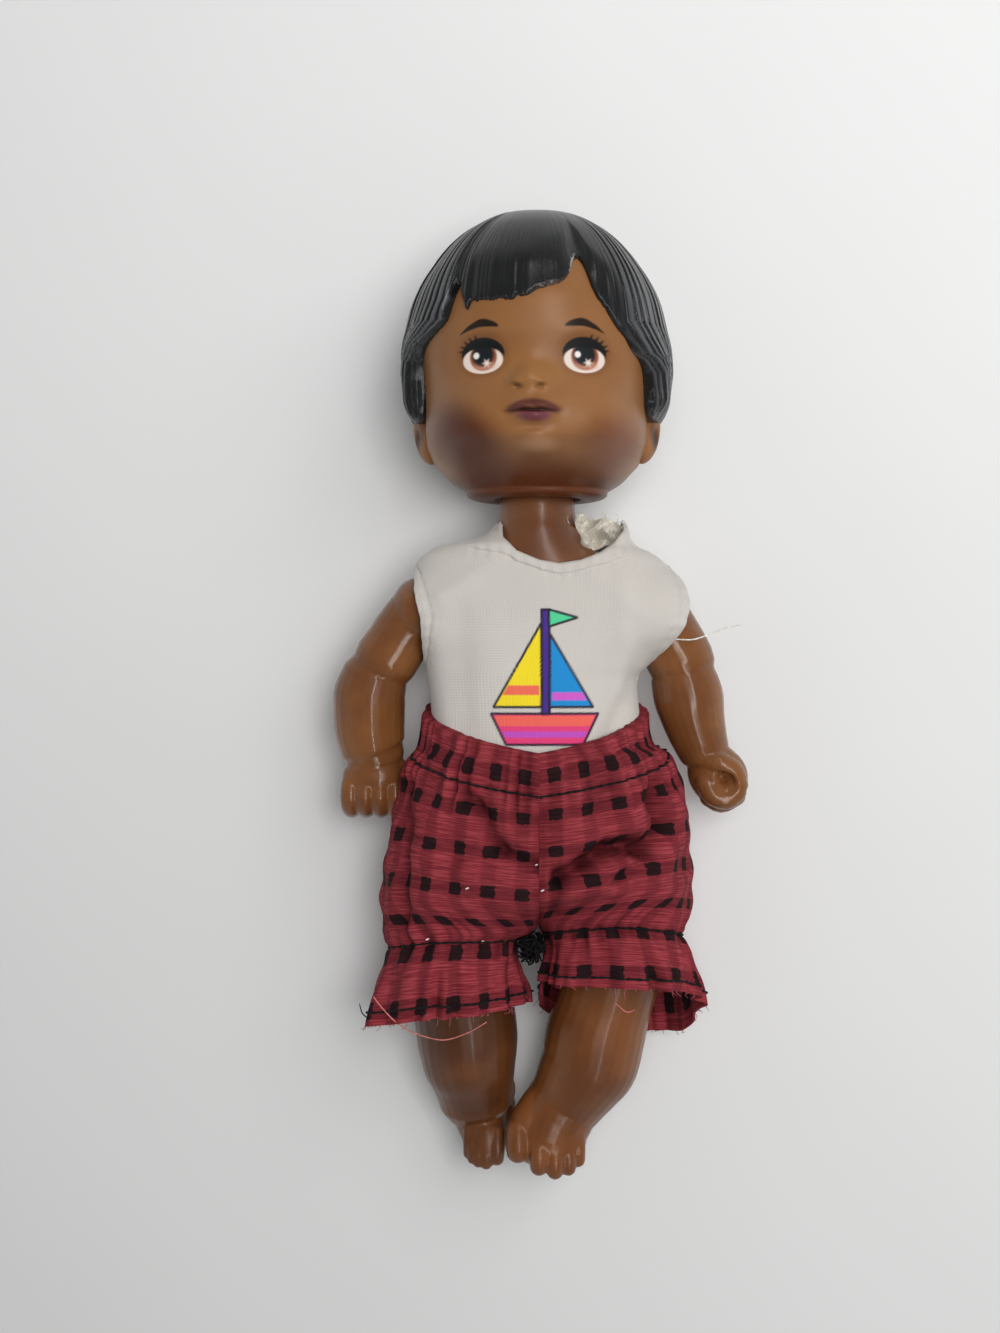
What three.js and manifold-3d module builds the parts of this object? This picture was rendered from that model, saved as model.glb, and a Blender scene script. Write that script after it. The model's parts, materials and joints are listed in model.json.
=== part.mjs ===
// A small jointed baby doll, dressed, lying on its back on a flat surface.
// A hollow vinyl head turns on a neck knob, a torso of two glued shells traps the pegs of four limbs, and the
// doll wears a sleeveless top that closes at the back and gathered shorts with elastic at waist and cuffs.
// Millimetres. +X is the doll's left side, +Y runs towards the crown, +Z is up from the surface.
import * as THREE from "three";
import { mergeVertices } from "three/addons/utils/BufferGeometryUtils.js";
import Module from "manifold-3d";

const wasm = await Module();
wasm.setup();

// Clearances and walls
const GAP = 0.3; // between pieces that touch or turn on each other
const PARTING_GAP = 0.1; // between the two torso shells
const TORSO_WALL = 1.3;
const HEAD_WALL = 2;
const CLOTH = 0.4; // thickness of the shorts' cotton and the top's knit

// Torso, with heights measured from the hip axis
const AXIS_Z = 12; // height of the parting plane, which holds the shoulder, hip and neck axes
const SHOULDER_Y = 29.3;
const NECK_RIM_Y = 42.9; // underside of the head
const CROTCH_Y = -7.6;
const PELVIS_HALF_WIDTH = 4; // the web between the legs
const BELLY_HALF_WIDTH = 11.3;
const BELLY_HALF_DEPTH = 8.3;
const CHEST_HALF_WIDTH = 11.6;
const CHEST_HALF_DEPTH = 7.8;
const SHOULDER_HALF_WIDTH = 12;
const SHOULDER_HALF_DEPTH = 6.6;
const NECK_RADIUS = 4.75;
const NECK_GROOVE_RADIUS = 3.4;
const NECK_KNOB_RADIUS = 4.9;
const NECK_KNOB_LENGTH = 2.6;
const PIN_RADIUS = 1;
const PIN_LENGTH = 3;

// Pegs that hold the limbs
const SHOULDER_PEG_RADIUS = 2;
const SHOULDER_FLANGE_RADIUS = 3.1;
const HIP_PEG_RADIUS = 2.1;
const HIP_FLANGE_RADIUS = 3.3;
const FLANGE_THICKNESS = 1.4;

// Limbs
const ARM_ROOT_RADIUS = 4.2;
const ARM_ROOT_LENGTH = 1.8;
const HIP_DRUM_RADIUS = 6.5;
const HIP_DRUM_LENGTH = 7.4;
const SOLE_DEPTH = 3; // from the middle of the foot down to its flat sole

// Head, with heights measured from its underside
const HEAD_Z = 16; // height of the middle of the head above the surface
const HEAD_TURN_DEG = -2.5; // the face looks a little to the doll's right
const HEAD_HEIGHT = 32.65;
const FACE_HALF_WIDTH = 12.8;
const SKULL_HALF_WIDTH = 13.6;
const FACE_REACH = 13.8; // from the middle of the head forward to the cheeks
const SKULL_REACH = 14.9; // from the middle of the head back to the scalp
const FACE_FULLNESS = 2.2; // how square the face is across, where 2 is round
const HAIR_THICKNESS = 1.25;
const FRINGE_THICKNESS = 0.45; // at the fringe's lower edge
const HAIR_FLARE = 1.3; // how much further the hair stands out above the ears
const FRINGE_Y = 20.2;
const SIDE_HAIR_Y = 8;
const NAPE_Y = 4;
const LIP_RADIUS = 8.2; // the flat ring around the neck hole
const NOSE_X = -0.45;
const NOSE_REACH = 1.3;
const EAR_Y = 6.6;

// Top
const SHIRT_HEM_Y = 8.4;
const SHIRT_EASE = GAP; // from the torso to the inside of the knit
const SHOULDER_CAP = 2.3; // how far the knit stands out past the torso's shoulder
const COLLAR_HALF_WIDTH = 6.7;
const COLLAR_TOP_Y = 41;
const NECKLINE_FRONT_Y = 35.4;
const NECKLINE_SLOPE = 0.62; // the neckline's fall towards the front
const ARMHOLE_RADIUS = 5;
const ARMHOLE_DROP = 0.4; // centre of the armhole below the shoulder axis
const ARMHOLE_BRIM = 1.4; // how far the armhole's edge stands out past the torso's shoulder
const TAPE_HALF_WIDTH = 2.3;
const TAPE_THICKNESS = 0.4;
const FLAP_HALF_WIDTH = 3;
const CLOSURE_LOW_Y = 22.8;
const CLOSURE_HIGH_Y = 33.6;

// Shorts
const WAIST_Y = 17.7; // at the sides, where the parting plane cuts the band
const WAIST_SLOPE = 0.42; // the waist's fall towards the front
const WAISTBAND_HEIGHT = 5;
const ELASTIC_THICKNESS = 0.5;
const WAIST_ELASTIC_WIDTH = 3.2;
const CUFF_ELASTIC_WIDTH = 1.6;
const SEAT_HALF_WIDTH = 17.6;
const SEAT_HALF_DEPTH = 11.9;
const CUFF_Y = -9.6;
const HEM_Y = -17.8;
const LEG_OPENING_X = 9.8; // middle of each leg of the shorts
const HEM_FLARE = 0.7; // how far the hem swings out from the cuff
const CUFF_HALF_WIDTH = 8.1;
const CUFF_HALF_DEPTH = 8.3;
const HEM_HALF_WIDTH = 9.4;
const HEM_HALF_DEPTH = 8.9;
const RUFFLE_WAVES = 7;
const RUFFLE_DEPTH = 0.5;

// Facets
const TORSO_SIDES = 20;
const NECK_SIDES = 32;
const LIMB_SIDES = 12;
const HEAD_SIDES = 80;
const HEAD_BORE_SIDES = 16;
const PEG_SIDES = 12;
const CLOTH_SIDES = 24;
const RUFFLE_SIDES = 28;
const FAR = 200; // reaches past the whole doll

const material = (color, roughness) => new THREE.MeshStandardMaterial({ color, roughness, metalness: 0 });
const SKIN = material(0x6b3d22, 0.35);
const HEAD_VINYL = material(0x75472a, 0.4);
const KNIT = material(0xe4dfd6, 0.9);
const CHECKED_COTTON = material(0x8c2637, 0.85);
const ELASTIC = material(0xe8e6e0, 0.7);
const TAPE = material(0xe9e5da, 0.95);

// Solids

// A closed geometry as a solid for cutting and joining, turned the right way out.
function solid(geometry) {
  const bare = geometry.index ? geometry.clone() : geometry;
  for (const name of ["normal", "uv"]) bare.deleteAttribute(name);
  const merged = mergeVertices(bare, 1e-4);
  const build = (triVerts) =>
    new wasm.Manifold(
      new wasm.Mesh({ numProp: 3, vertProperties: merged.attributes.position.array, triVerts }),
    );
  const corners = new Uint32Array(merged.index.array);
  const made = build(corners);
  return made.volume() > 0 ? made : build(corners.reverse());
}

function mesh(name, body, skin) {
  const { numProp, vertProperties, triVerts } = body.getMesh();
  const geometry = new THREE.BufferGeometry();
  geometry.setAttribute("position", new THREE.BufferAttribute(vertProperties, numProp));
  geometry.setIndex(new THREE.BufferAttribute(triVerts, 1));
  geometry.computeVertexNormals();
  const made = new THREE.Mesh(geometry, skin);
  made.name = name;
  return made;
}

function box(low, high) {
  const size = new THREE.Vector3().subVectors(high, low);
  const geometry = new THREE.BoxGeometry(size.x, size.y, size.z);
  return solid(geometry.translate((low.x + high.x) / 2, (low.y + high.y) / 2, (low.z + high.z) / 2));
}

const corner = (x, y, z) => new THREE.Vector3(x, y, z);
const above = (z) => box(corner(-FAR, -FAR, z), corner(FAR, FAR, FAR));
const below = (z) => box(corner(-FAR, -FAR, -FAR), corner(FAR, FAR, z));
const between = (x0, x1, y0, y1) => box(corner(x0, y0, -FAR), corner(x1, y1, FAR));
const outsideOf = (side, x) => (side > 0 ? between(x, FAR, -FAR, FAR) : between(-FAR, -x, -FAR, FAR));

// A round bar along X, from x0 to x1, on an axis at height y on the parting plane.
function barX(radius, x0, x1, y, sides = PEG_SIDES) {
  const bar = new THREE.CylinderGeometry(radius, radius, Math.abs(x1 - x0), sides);
  return solid(bar.rotateZ(Math.PI / 2).translate((x0 + x1) / 2, y, AXIS_Z));
}

// A round bar along Y on the neck's axis.
function barY(radius, y0, y1, sides = NECK_SIDES) {
  const bar = new THREE.CylinderGeometry(radius, radius, y1 - y0, sides);
  return solid(bar.translate(0, (y0 + y1) / 2, AXIS_Z));
}

// A surface through rings of points, with each end closed to its middle.
function loft(rings) {
  const around = rings[0].length;
  const middle = (ring) => ring.reduce((sum, p) => sum.add(p), corner(0, 0, 0)).divideScalar(around);
  const points = [...rings.flat(), middle(rings[0]), middle(rings.at(-1))];
  const index = [];
  for (let i = 0; i < rings.length - 1; i++) {
    for (let j = 0; j < around; j++) {
      const k = (j + 1) % around;
      const [a, b, c, d] = [i * around + j, i * around + k, (i + 1) * around + k, (i + 1) * around + j];
      index.push(a, b, c, a, c, d);
    }
  }
  const last = (rings.length - 1) * around;
  for (let j = 0; j < around; j++) {
    const k = (j + 1) % around;
    index.push(points.length - 2, k, j, points.length - 1, last + j, last + k);
  }
  const geometry = new THREE.BufferGeometry().setFromPoints(points);
  geometry.setIndex(index);
  return solid(geometry);
}

// A closed band: a section of [outward, along Y] points carried once around an oval.
function band(ovalAt, section, steps) {
  const points = [];
  const index = [];
  for (let i = 0; i < steps; i++) {
    const turn = (2 * Math.PI * i) / steps;
    for (const [outward, rise] of section) points.push(ovalAt(turn, outward, rise));
  }
  const sides = section.length;
  for (let i = 0; i < steps; i++) {
    for (let j = 0; j < sides; j++) {
      const [ni, nj] = [(i + 1) % steps, (j + 1) % sides];
      const [a, b, c, d] = [i * sides + j, i * sides + nj, ni * sides + nj, ni * sides + j];
      index.push(a, b, c, a, c, d);
    }
  }
  const geometry = new THREE.BufferGeometry().setFromPoints(points);
  geometry.setIndex(index);
  return solid(geometry);
}

// A smooth curve through rows of [position, value, value, ...], with slopes from the neighbouring rows.
function through(rows) {
  const slope = (i, k) => {
    const [p, q] = [rows[Math.max(i - 1, 0)], rows[Math.min(i + 1, rows.length - 1)]];
    return (q[k] - p[k]) / (q[0] - p[0]);
  };
  return (at) => {
    let i = 0;
    while (i < rows.length - 2 && at > rows[i + 1][0]) i++;
    const [p, q] = [rows[i], rows[i + 1]];
    const h = q[0] - p[0];
    const t = Math.min(Math.max((at - p[0]) / h, 0), 1);
    return p.slice(1).map((_, n) => {
      const k = n + 1;
      const [t2, t3] = [t * t, t * t * t];
      const start = (2 * t3 - 3 * t2 + 1) * p[k] + (t3 - 2 * t2 + t) * h * slope(i, k);
      return start + (3 * t2 - 2 * t3) * q[k] + (t3 - t2) * h * slope(i + 1, k);
    });
  };
}

const spread = (from, to, steps) => Array.from({ length: steps + 1 }, (_, i) => from + ((to - from) * i) / steps);
const signedPower = (value, power) => Math.sign(value) * Math.abs(value) ** power;
const smooth = (t) => {
  const s = Math.min(Math.max(t, 0), 1);
  return s * s * (3 - 2 * s);
};

// One level ring: an oval around (x, z) at height y. Fullness above 2 squares its shoulders.
function oval({ x = 0, y, z = AXIS_Z, halfWidth, halfDepth, fullness = 2, sides = TORSO_SIDES, wave = 0, waves = 0 }) {
  return spread(0, 2 * Math.PI, sides)
    .slice(0, -1)
    .map((turn) => {
      const push = wave * Math.cos(waves * turn);
      const across = signedPower(Math.cos(turn), 2 / fullness);
      const deep = signedPower(Math.sin(turn), 2 / fullness);
      return corner(x + (halfWidth + push) * across, y, z + (halfDepth + push) * deep);
    });
}

// Torso shells

const GROOVE_LOW_Y = NECK_RIM_Y - GAP;
const GROOVE_HIGH_Y = NECK_RIM_Y + HEAD_WALL + GAP;
const NECK_BASE_Y = SHOULDER_Y + (NECK_RIM_Y - SHOULDER_Y) * 0.57;
const TRUNK_FULLNESS = 2.4;

const trunk = through([
  [CROTCH_Y, 1.6, 1.8],
  [CROTCH_Y + 0.9, 5, 4.4],
  [CROTCH_Y + 3, 8.6, BELLY_HALF_DEPTH - 1.5],
  [CROTCH_Y + 8, BELLY_HALF_WIDTH - 0.4, BELLY_HALF_DEPTH - 0.2],
  [SHOULDER_Y * 0.42, BELLY_HALF_WIDTH, BELLY_HALF_DEPTH],
  [SHOULDER_Y * 0.72, CHEST_HALF_WIDTH, CHEST_HALF_DEPTH],
  [SHOULDER_Y, SHOULDER_HALF_WIDTH, SHOULDER_HALF_DEPTH],
  [SHOULDER_Y + 3.4, SHOULDER_HALF_WIDTH - 1.2, SHOULDER_HALF_DEPTH - 0.5],
  [SHOULDER_Y + 5.6, SHOULDER_HALF_WIDTH - 4.4, NECK_RADIUS + 0.6],
  [NECK_BASE_Y, NECK_RADIUS + 0.2, NECK_RADIUS + 0.2],
]);

function trunkLoft(inset, lowY, highY, levels) {
  const rings = spread(lowY, highY, levels).map((y) => {
    const [halfWidth, halfDepth] = trunk(y).map((half) => Math.max(half - inset, 0.6));
    return oval({ y, halfWidth, halfDepth, fullness: TRUNK_FULLNESS });
  });
  return loft(rings);
}

const flangeFrom = (wallX) => wallX - TORSO_WALL - GAP; // outer face of a peg's flange, inside the wall

function torso() {
  const shelfY = HIP_DRUM_RADIUS + GAP;
  let outer = trunkLoft(0, CROTCH_Y, NECK_BASE_Y, 15);
  outer = outer.add(barY(NECK_RADIUS, NECK_BASE_Y - 1, GROOVE_LOW_Y));
  outer = outer.add(barY(NECK_GROOVE_RADIUS, NECK_BASE_Y, GROOVE_HIGH_Y + 1));
  outer = outer.add(barY(NECK_KNOB_RADIUS, GROOVE_HIGH_Y, GROOVE_HIGH_Y + NECK_KNOB_LENGTH));
  let hollow = trunkLoft(TORSO_WALL, CROTCH_Y + TORSO_WALL, SHOULDER_Y + 3.4, 8);
  for (const side of [-1, 1]) {
    const sideBox = (inset, top) => {
      const edges = [side * (PELVIS_HALF_WIDTH - inset), side * FAR].sort((a, b) => a - b);
      return between(...edges, -FAR, top);
    };
    outer = outer.subtract(sideBox(0, shelfY));
    outer = outer.add(barX(ARM_ROOT_RADIUS, side * 7, side * SHOULDER_HALF_WIDTH, SHOULDER_Y, TORSO_SIDES));
    hollow = hollow.subtract(sideBox(TORSO_WALL, shelfY + TORSO_WALL));
  }
  let shell = outer.subtract(hollow);
  for (const side of [-1, 1]) {
    const padInside = side * (SHOULDER_HALF_WIDTH - TORSO_WALL);
    shell = shell.subtract(barX(SHOULDER_FLANGE_RADIUS + GAP, side * 6, padInside, SHOULDER_Y));
    shell = shell.subtract(barX(SHOULDER_PEG_RADIUS + GAP, side * 6, side * FAR, SHOULDER_Y));
    shell = shell.subtract(barX(HIP_PEG_RADIUS + GAP, side * 0.5, side * FAR, 0));
  }
  const pinPlaces = [-1, 1].flatMap((side) => [
    [side * (CHEST_HALF_WIDTH - TORSO_WALL - PIN_RADIUS), SHOULDER_Y * 0.55],
    [side * (BELLY_HALF_WIDTH - TORSO_WALL - PIN_RADIUS), shelfY + TORSO_WALL + 2 * PIN_RADIUS],
  ]);
  const pin = (radius, [x, y], low, high) => {
    const post = new THREE.CylinderGeometry(radius, radius, high - low, PEG_SIDES);
    return solid(post.rotateX(Math.PI / 2).translate(x, y, (low + high) / 2));
  };
  let front = shell.intersect(above(AXIS_Z + PARTING_GAP / 2));
  let back = shell.intersect(below(AXIS_Z - PARTING_GAP / 2));
  for (const place of pinPlaces) {
    const bossRadius = PIN_RADIUS + GAP + 0.9;
    const boss = (low, high) => pin(bossRadius, place, low, high).intersect(outer);
    front = front.add(boss(AXIS_Z + PARTING_GAP / 2, AXIS_Z + PIN_LENGTH));
    front = front.add(pin(PIN_RADIUS, place, AXIS_Z - PIN_LENGTH + GAP, AXIS_Z + PIN_LENGTH));
    back = back.add(boss(AXIS_Z - PIN_LENGTH - 1, AXIS_Z - PARTING_GAP / 2));
    back = back.subtract(pin(PIN_RADIUS + GAP, place, AXIS_Z - PIN_LENGTH, AXIS_Z + 1));
  }
  return [mesh("torso_front_shell", front, SKIN), mesh("torso_back_shell", back, SKIN)];
}

// Limbs

// A round limb through stations of [x, y, z, radius], shaped by a smooth curve through them.
function limb(stations, steps) {
  const curve = new THREE.CatmullRomCurve3(stations.map(([x, y, z]) => corner(x, y, z)));
  const radius = through(stations.map((row, i) => [i / (stations.length - 1), row[3]]));
  const rings = spread(0, 1, steps).map((t) => {
    const [middle, ahead] = [curve.getPoint(t), curve.getTangent(t)];
    const across = new THREE.Vector3().crossVectors(ahead, corner(0, 0, 1)).normalize();
    const up = new THREE.Vector3().crossVectors(across, ahead);
    const [r] = radius(t);
    return spread(0, 2 * Math.PI, LIMB_SIDES)
      .slice(0, -1)
      .map((turn) =>
        middle.clone().addScaledVector(across, r * Math.cos(turn)).addScaledVector(up, r * Math.sin(turn)),
      );
  });
  return loft(rings);
}

// An ellipsoid with its long axis from one point to another.
function bean(from, to, radius, sides = 12) {
  const reach = from.distanceTo(to) / 2 + radius;
  const ball = new THREE.SphereGeometry(1, sides, sides - 2).scale(radius, reach, radius);
  const turn = new THREE.Quaternion().setFromUnitVectors(corner(0, 1, 0), to.clone().sub(from).normalize());
  ball.applyQuaternion(turn).translate(...from.clone().lerp(to, 0.5).toArray());
  return solid(ball);
}

// The round root that turns in its socket: a domed drum on the joint's axis, with a peg and a flange on its inner
// face.
function root(side, faceX, y, drumRadius, drumLength, domeShare, pegRadius, flangeRadius) {
  const flangeX = flangeFrom(faceX - GAP);
  const dome = spread(0, Math.PI / 2, 4).map((turn) => [
    drumRadius * Math.cos(turn),
    drumLength + drumRadius * domeShare * Math.sin(turn),
  ]);
  const profile = [[0, 0], [drumRadius, 0], ...dome].map(([radius, along]) => new THREE.Vector2(radius, along));
  const drum = new THREE.LatheGeometry(profile, TORSO_SIDES).rotateZ(-Math.PI / 2);
  if (side < 0) drum.rotateY(Math.PI);
  return solid(drum.translate(side * faceX, y, AXIS_Z))
    .add(barX(pegRadius, side * (flangeX - FLANGE_THICKNESS / 2), side * (faceX + 0.5), y))
    .add(barX(flangeRadius, side * (flangeX - FLANGE_THICKNESS), side * flangeX, y));
}

const ARM_FACE_X = SHOULDER_HALF_WIDTH + GAP;
const LEG_FACE_X = PELVIS_HALF_WIDTH + GAP;

// Each arm's stations start on the shoulder axis and run to the knuckles: out from the arm's inner face, along
// the body from the axis, up from the axis, and the radius.
const ARM_STATIONS = {
  right: [
    [2.6, -0.4, 0, 3.2],
    [4.8, -2.3, -0.4, 3.9],
    [7.2, -5, -1, 3.9],
    [8.5, -7.3, -1.5, 3.85],
    [9.2, -10.8, -2.2, 4.25],
    [9.1, -14.4, -3, 3.95],
    [8.8, -17.8, -3.8, 3.5],
    [8.8, -20.6, -4.2, 3.7],
    [8.8, -22.6, -4.4, 3],
    [8.8, -23.6, -4.4, 1.2],
  ],
  left: [
    [2.6, -0.4, 0, 3.2],
    [4.9, -2.6, -0.3, 3.8],
    [6, -6.3, -0.7, 3.9],
    [6.2, -10, -1.1, 3.8],
    [6.5, -13.3, -1.5, 3.45],
    [7.1, -15.6, -1.8, 3.05],
    [8.5, -18.2, -2, 3.55],
    [9.5, -20.6, -2.2, 3.3],
    [10.1, -22.2, -2.3, 2.4],
    [10.4, -23, -2.3, 1],
  ],
};
const THUMBS = { right: [[6.3, -19, -2], [6, -21.3, -1.6]], left: [[7.6, -18.6, 0.7], [8.6, -20.8, 1.1]] };
const THUMB_RADIUS = 1.25;

function arm(name, side) {
  const place = ([out, along, up]) => corner(side * (ARM_FACE_X + out), SHOULDER_Y + along, AXIS_Z + up);
  const stations = ARM_STATIONS[name].map((row) => [...place(row).toArray(), row[3]]);
  const [thumbRoot, thumbTip] = THUMBS[name].map(place);
  const body = root(
    side,
    ARM_FACE_X,
    SHOULDER_Y,
    ARM_ROOT_RADIUS,
    ARM_ROOT_LENGTH,
    0.85,
    SHOULDER_PEG_RADIUS,
    SHOULDER_FLANGE_RADIUS,
  )
    .add(limb(stations, 15).intersect(outsideOf(side, ARM_FACE_X)))
    .add(bean(thumbRoot, thumbTip, THUMB_RADIUS, 8));
  return mesh(`${name}_arm`, body, SKIN);
}

// Each leg's stations run from the hip to the heel, measured as on the arms. The left leg is lifted a little, and
// its foot reaches over the doll's middle line beside the right foot.
const LEG_STATIONS = {
  right: [
    [4.9, 0, 0, 5.8],
    [5.3, -6, -0.9, 6.2],
    [5.3, -12, -1.9, 6.1],
    [5.1, -17, -2.9, 5.85],
    [4.8, -21, -3.5, 5.8],
    [4.4, -24.5, -4.3, 5.45],
    [3.6, -27.8, -5.3, 4.75],
    [3, -30.4, -6.6, 4.05],
    [2.9, -32.6, -8, 3.7],
    [3, -33.9, -8.6, 2],
  ],
  left: [
    [4.7, 0, 0, 5.8],
    [5.2, -6, -0.3, 6.1],
    [5, -12, -0.7, 5.9],
    [4, -17, -1.1, 5.65],
    [2.8, -21, -1.5, 5.7],
    [1.3, -24.5, -2.1, 5.55],
    [-0.9, -27.6, -3, 5.1],
    [-2.2, -30.2, -4.2, 4.3],
    [-2.8, -32.4, -5.4, 3.8],
    [-3, -33.6, -6, 2],
  ],
};
// Middle of the heel, middle of the toes, and half the width of the foot.
const FEET = {
  right: { heel: [2.9, -32.2, -6.9], toes: [2.6, -37.2, -1.7], halfWidth: 3.2 },
  left: { heel: [-2.9, -32.4, -4.8], toes: [-3.2, -37.6, 0.6], halfWidth: 4.1 },
};

// The direction from a foot's middle down through its sole.
function soleNormal(heel, toes) {
  const ahead = toes.clone().sub(heel).normalize();
  return new THREE.Vector3().crossVectors(corner(1, 0, 0), ahead).normalize();
}

// A rounded foot on a flat sole, from heel to toes.
function foot(heel, toes, halfWidth) {
  const ahead = toes.clone().sub(heel).normalize();
  const across = corner(1, 0, 0).addScaledVector(ahead, -ahead.x).normalize();
  const up = soleNormal(heel, toes).negate();
  const reach = heel.distanceTo(toes);
  const shape = through([
    [-0.34, 0.8, 0.8],
    [-0.26, 2.3, 2.3],
    [0, halfWidth * 0.92, 3.5],
    [0.5, halfWidth, 3.2],
    [0.9, halfWidth * 0.98, 2.6],
    [1.14, halfWidth * 0.72, 1.9],
    [1.22, 0.8, 0.6],
  ]);
  const rings = spread(-0.34, 1.22, 8).map((t) => {
    const [wide, high] = shape(t);
    const middle = heel.clone().addScaledVector(ahead, reach * t);
    return spread(0, 2 * Math.PI, LIMB_SIDES)
      .slice(0, -1)
      .map((turn) =>
        middle.clone().addScaledVector(across, wide * Math.cos(turn)).addScaledVector(up, high * Math.sin(turn)),
      );
  });
  return loft(rings);
}

function leg(name, side) {
  const place = ([out, along, up]) => corner(side * (LEG_FACE_X + out), along, AXIS_Z + up);
  const stations = LEG_STATIONS[name].map((row) => [...place(row).toArray(), row[3]]);
  const [heel, toes] = [place(FEET[name].heel), place(FEET[name].toes)];
  const down = soleNormal(heel, toes);
  let shank = limb(stations, 16).add(foot(heel, toes, FEET[name].halfWidth));
  shank = shank.trimByPlane(down.clone().negate().toArray(), -(down.dot(heel) + SOLE_DEPTH));
  const belowPelvis = between(-FAR, FAR, -FAR, CROTCH_Y - 2.9);
  shank = shank.intersect(outsideOf(side, LEG_FACE_X).add(belowPelvis));
  const body = root(
    side,
    LEG_FACE_X,
    0,
    HIP_DRUM_RADIUS,
    HIP_DRUM_LENGTH,
    0.4,
    HIP_PEG_RADIUS,
    HIP_FLANGE_RADIUS,
  ).add(shank);
  return mesh(`${name}_leg`, body.intersect(above(0)), SKIN);
}

// Head

const SCALP_Y = HEAD_HEIGHT - HAIR_THICKNESS;
const EYE_Y = 12;
const upper = (share) => EYE_Y + (SCALP_Y - EYE_Y) * share;

// Half width, reach forward, reach back and how far forward the middle lies at each height, without the hair.
const skull = through([
  [0, LIP_RADIUS, LIP_RADIUS, LIP_RADIUS, AXIS_Z - HEAD_Z],
  [0.75, LIP_RADIUS + 0.5, LIP_RADIUS + 0.8, LIP_RADIUS + 0.2, -3.9],
  [1.4, LIP_RADIUS + 1.6, LIP_RADIUS + 2.3, LIP_RADIUS + 0.7, -3.6],
  [2.6, FACE_HALF_WIDTH - 1.7, FACE_REACH - 1.4, SKULL_REACH - 5.1, -3.1],
  [3.9, FACE_HALF_WIDTH - 0.6, FACE_REACH + 0.1, SKULL_REACH - 3.9, -2.4],
  [5.5, FACE_HALF_WIDTH, FACE_REACH + 1, SKULL_REACH - 2.7, -1.4],
  [7, FACE_HALF_WIDTH, FACE_REACH + 0.7, SKULL_REACH - 1.6, -0.7],
  [9.5, FACE_HALF_WIDTH, FACE_REACH + 0.1, SKULL_REACH - 0.5, -0.1],
  [EYE_Y, SKULL_HALF_WIDTH - 0.6, FACE_REACH - 0.6, SKULL_REACH - 0.1, 0],
  [upper(0.1), SKULL_HALF_WIDTH - 0.3, FACE_REACH - 0.8, SKULL_REACH, 0],
  [upper(0.26), SKULL_HALF_WIDTH, FACE_REACH - 0.4, SKULL_REACH - 0.1, 0],
  [upper(0.41), SKULL_HALF_WIDTH - 0.5, FACE_REACH - 0.4, SKULL_REACH - 0.6, 0],
  [upper(0.59), SKULL_HALF_WIDTH - 1.7, FACE_REACH - 1.4, SKULL_REACH - 1.8, 0],
  [upper(0.77), SKULL_HALF_WIDTH - 4, FACE_REACH - 3.7, SKULL_REACH - 4.3, 0],
  [upper(0.9), SKULL_HALF_WIDTH - 6.7, FACE_REACH - 6.4, SKULL_REACH - 7.3, 0],
  [upper(0.97), SKULL_HALF_WIDTH - 9.6, FACE_REACH - 9.5, SKULL_REACH - 10.5, 0],
  [SCALP_Y, 0.5, 0.5, 0.5, 0],
]);

// Height of the hair's lower edge, by the turn in degrees from the middle of the face to the doll's left: the nape,
// the sides and a fringe parted above each eye.
const hairEdge = through([
  [-180, NAPE_Y],
  [-120, NAPE_Y + 2.5],
  [-95, SIDE_HAIR_Y],
  [-84, SIDE_HAIR_Y + 0.4],
  [-77, SIDE_HAIR_Y + 4.4],
  [-62, FRINGE_Y - 4],
  [-47, FRINGE_Y - 2.4],
  [-38.6, FRINGE_Y + 2],
  [-31, FRINGE_Y - 1.2],
  [-20, FRINGE_Y],
  [-4, FRINGE_Y + 0.2],
  [12, FRINGE_Y + 1.8],
  [23, FRINGE_Y + 4.8],
  [28, FRINGE_Y + 1.4],
  [39, FRINGE_Y - 2.5],
  [53, FRINGE_Y - 5.3],
  [66, FRINGE_Y - 7.1],
  [76, SIDE_HAIR_Y + 1.2],
  [95, SIDE_HAIR_Y],
  [120, NAPE_Y + 2.5],
  [180, NAPE_Y],
]);

const bump = (x, y, wide, high) => Math.exp(-((x / wide) ** 2) - (y / high) ** 2);

// Rise of the face by place: nose and nostrils, lips, chin and brow in the middle, then the pairs at both sides.
function faceRelief(x, y) {
  const out = Math.abs(x);
  const beside = Math.abs(x - NOSE_X);
  return (
    NOSE_REACH * bump(x - NOSE_X, y - 11.7, 1.75, 1.35) +
    0.5 * bump(beside - 1.5, y - 11, 0.8, 0.65) +
    1.1 * bump(x, y - 8, 3.2, 1.9) +
    0.5 * bump(x, y - 7.2, 1.6, 0.6) -
    0.5 * bump(x, y - 6.1, 1.8, 0.7) +
    1.1 * bump(x, y - 4.8, 3, 1.5) +
    0.5 * bump(x, y - 19, 8, 4) +
    0.4 * bump(out - 1.2, y - 8.4, 1.1, 0.5) +
    0.9 * bump(out - 8, y - 6.6, 3.4, 3.2) -
    0.4 * bump(out - 5.3, y - 13.9, 3, 2.2) +
    0.25 * bump(out - 5.4, y - 16.8, 2.8, 0.9)
  );
}

// How far the hair stands out of the skull, at a height and a turn in degrees from the middle of the face.
function hairDepth(y, turn) {
  const above = y - hairEdge(turn)[0];
  const away = Math.abs(turn);
  const fringe = 1 - smooth((away - 38) / 12);
  const thin = FRINGE_THICKNESS * smooth(above / 0.7) + (HAIR_THICKNESS - FRINGE_THICKNESS) * smooth(above / 6);
  const beside = smooth((away - 42) / 28) * smooth((150 - away) / 40);
  const behind = 0.25 * smooth((away - 110) / 40);
  const thick = HAIR_THICKNESS + behind + HAIR_FLARE * bump(0, y - EYE_Y, 1, 4.6) * beside;
  return thin * fringe + thick * smooth(above / 2.2) * (1 - fringe);
}

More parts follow.
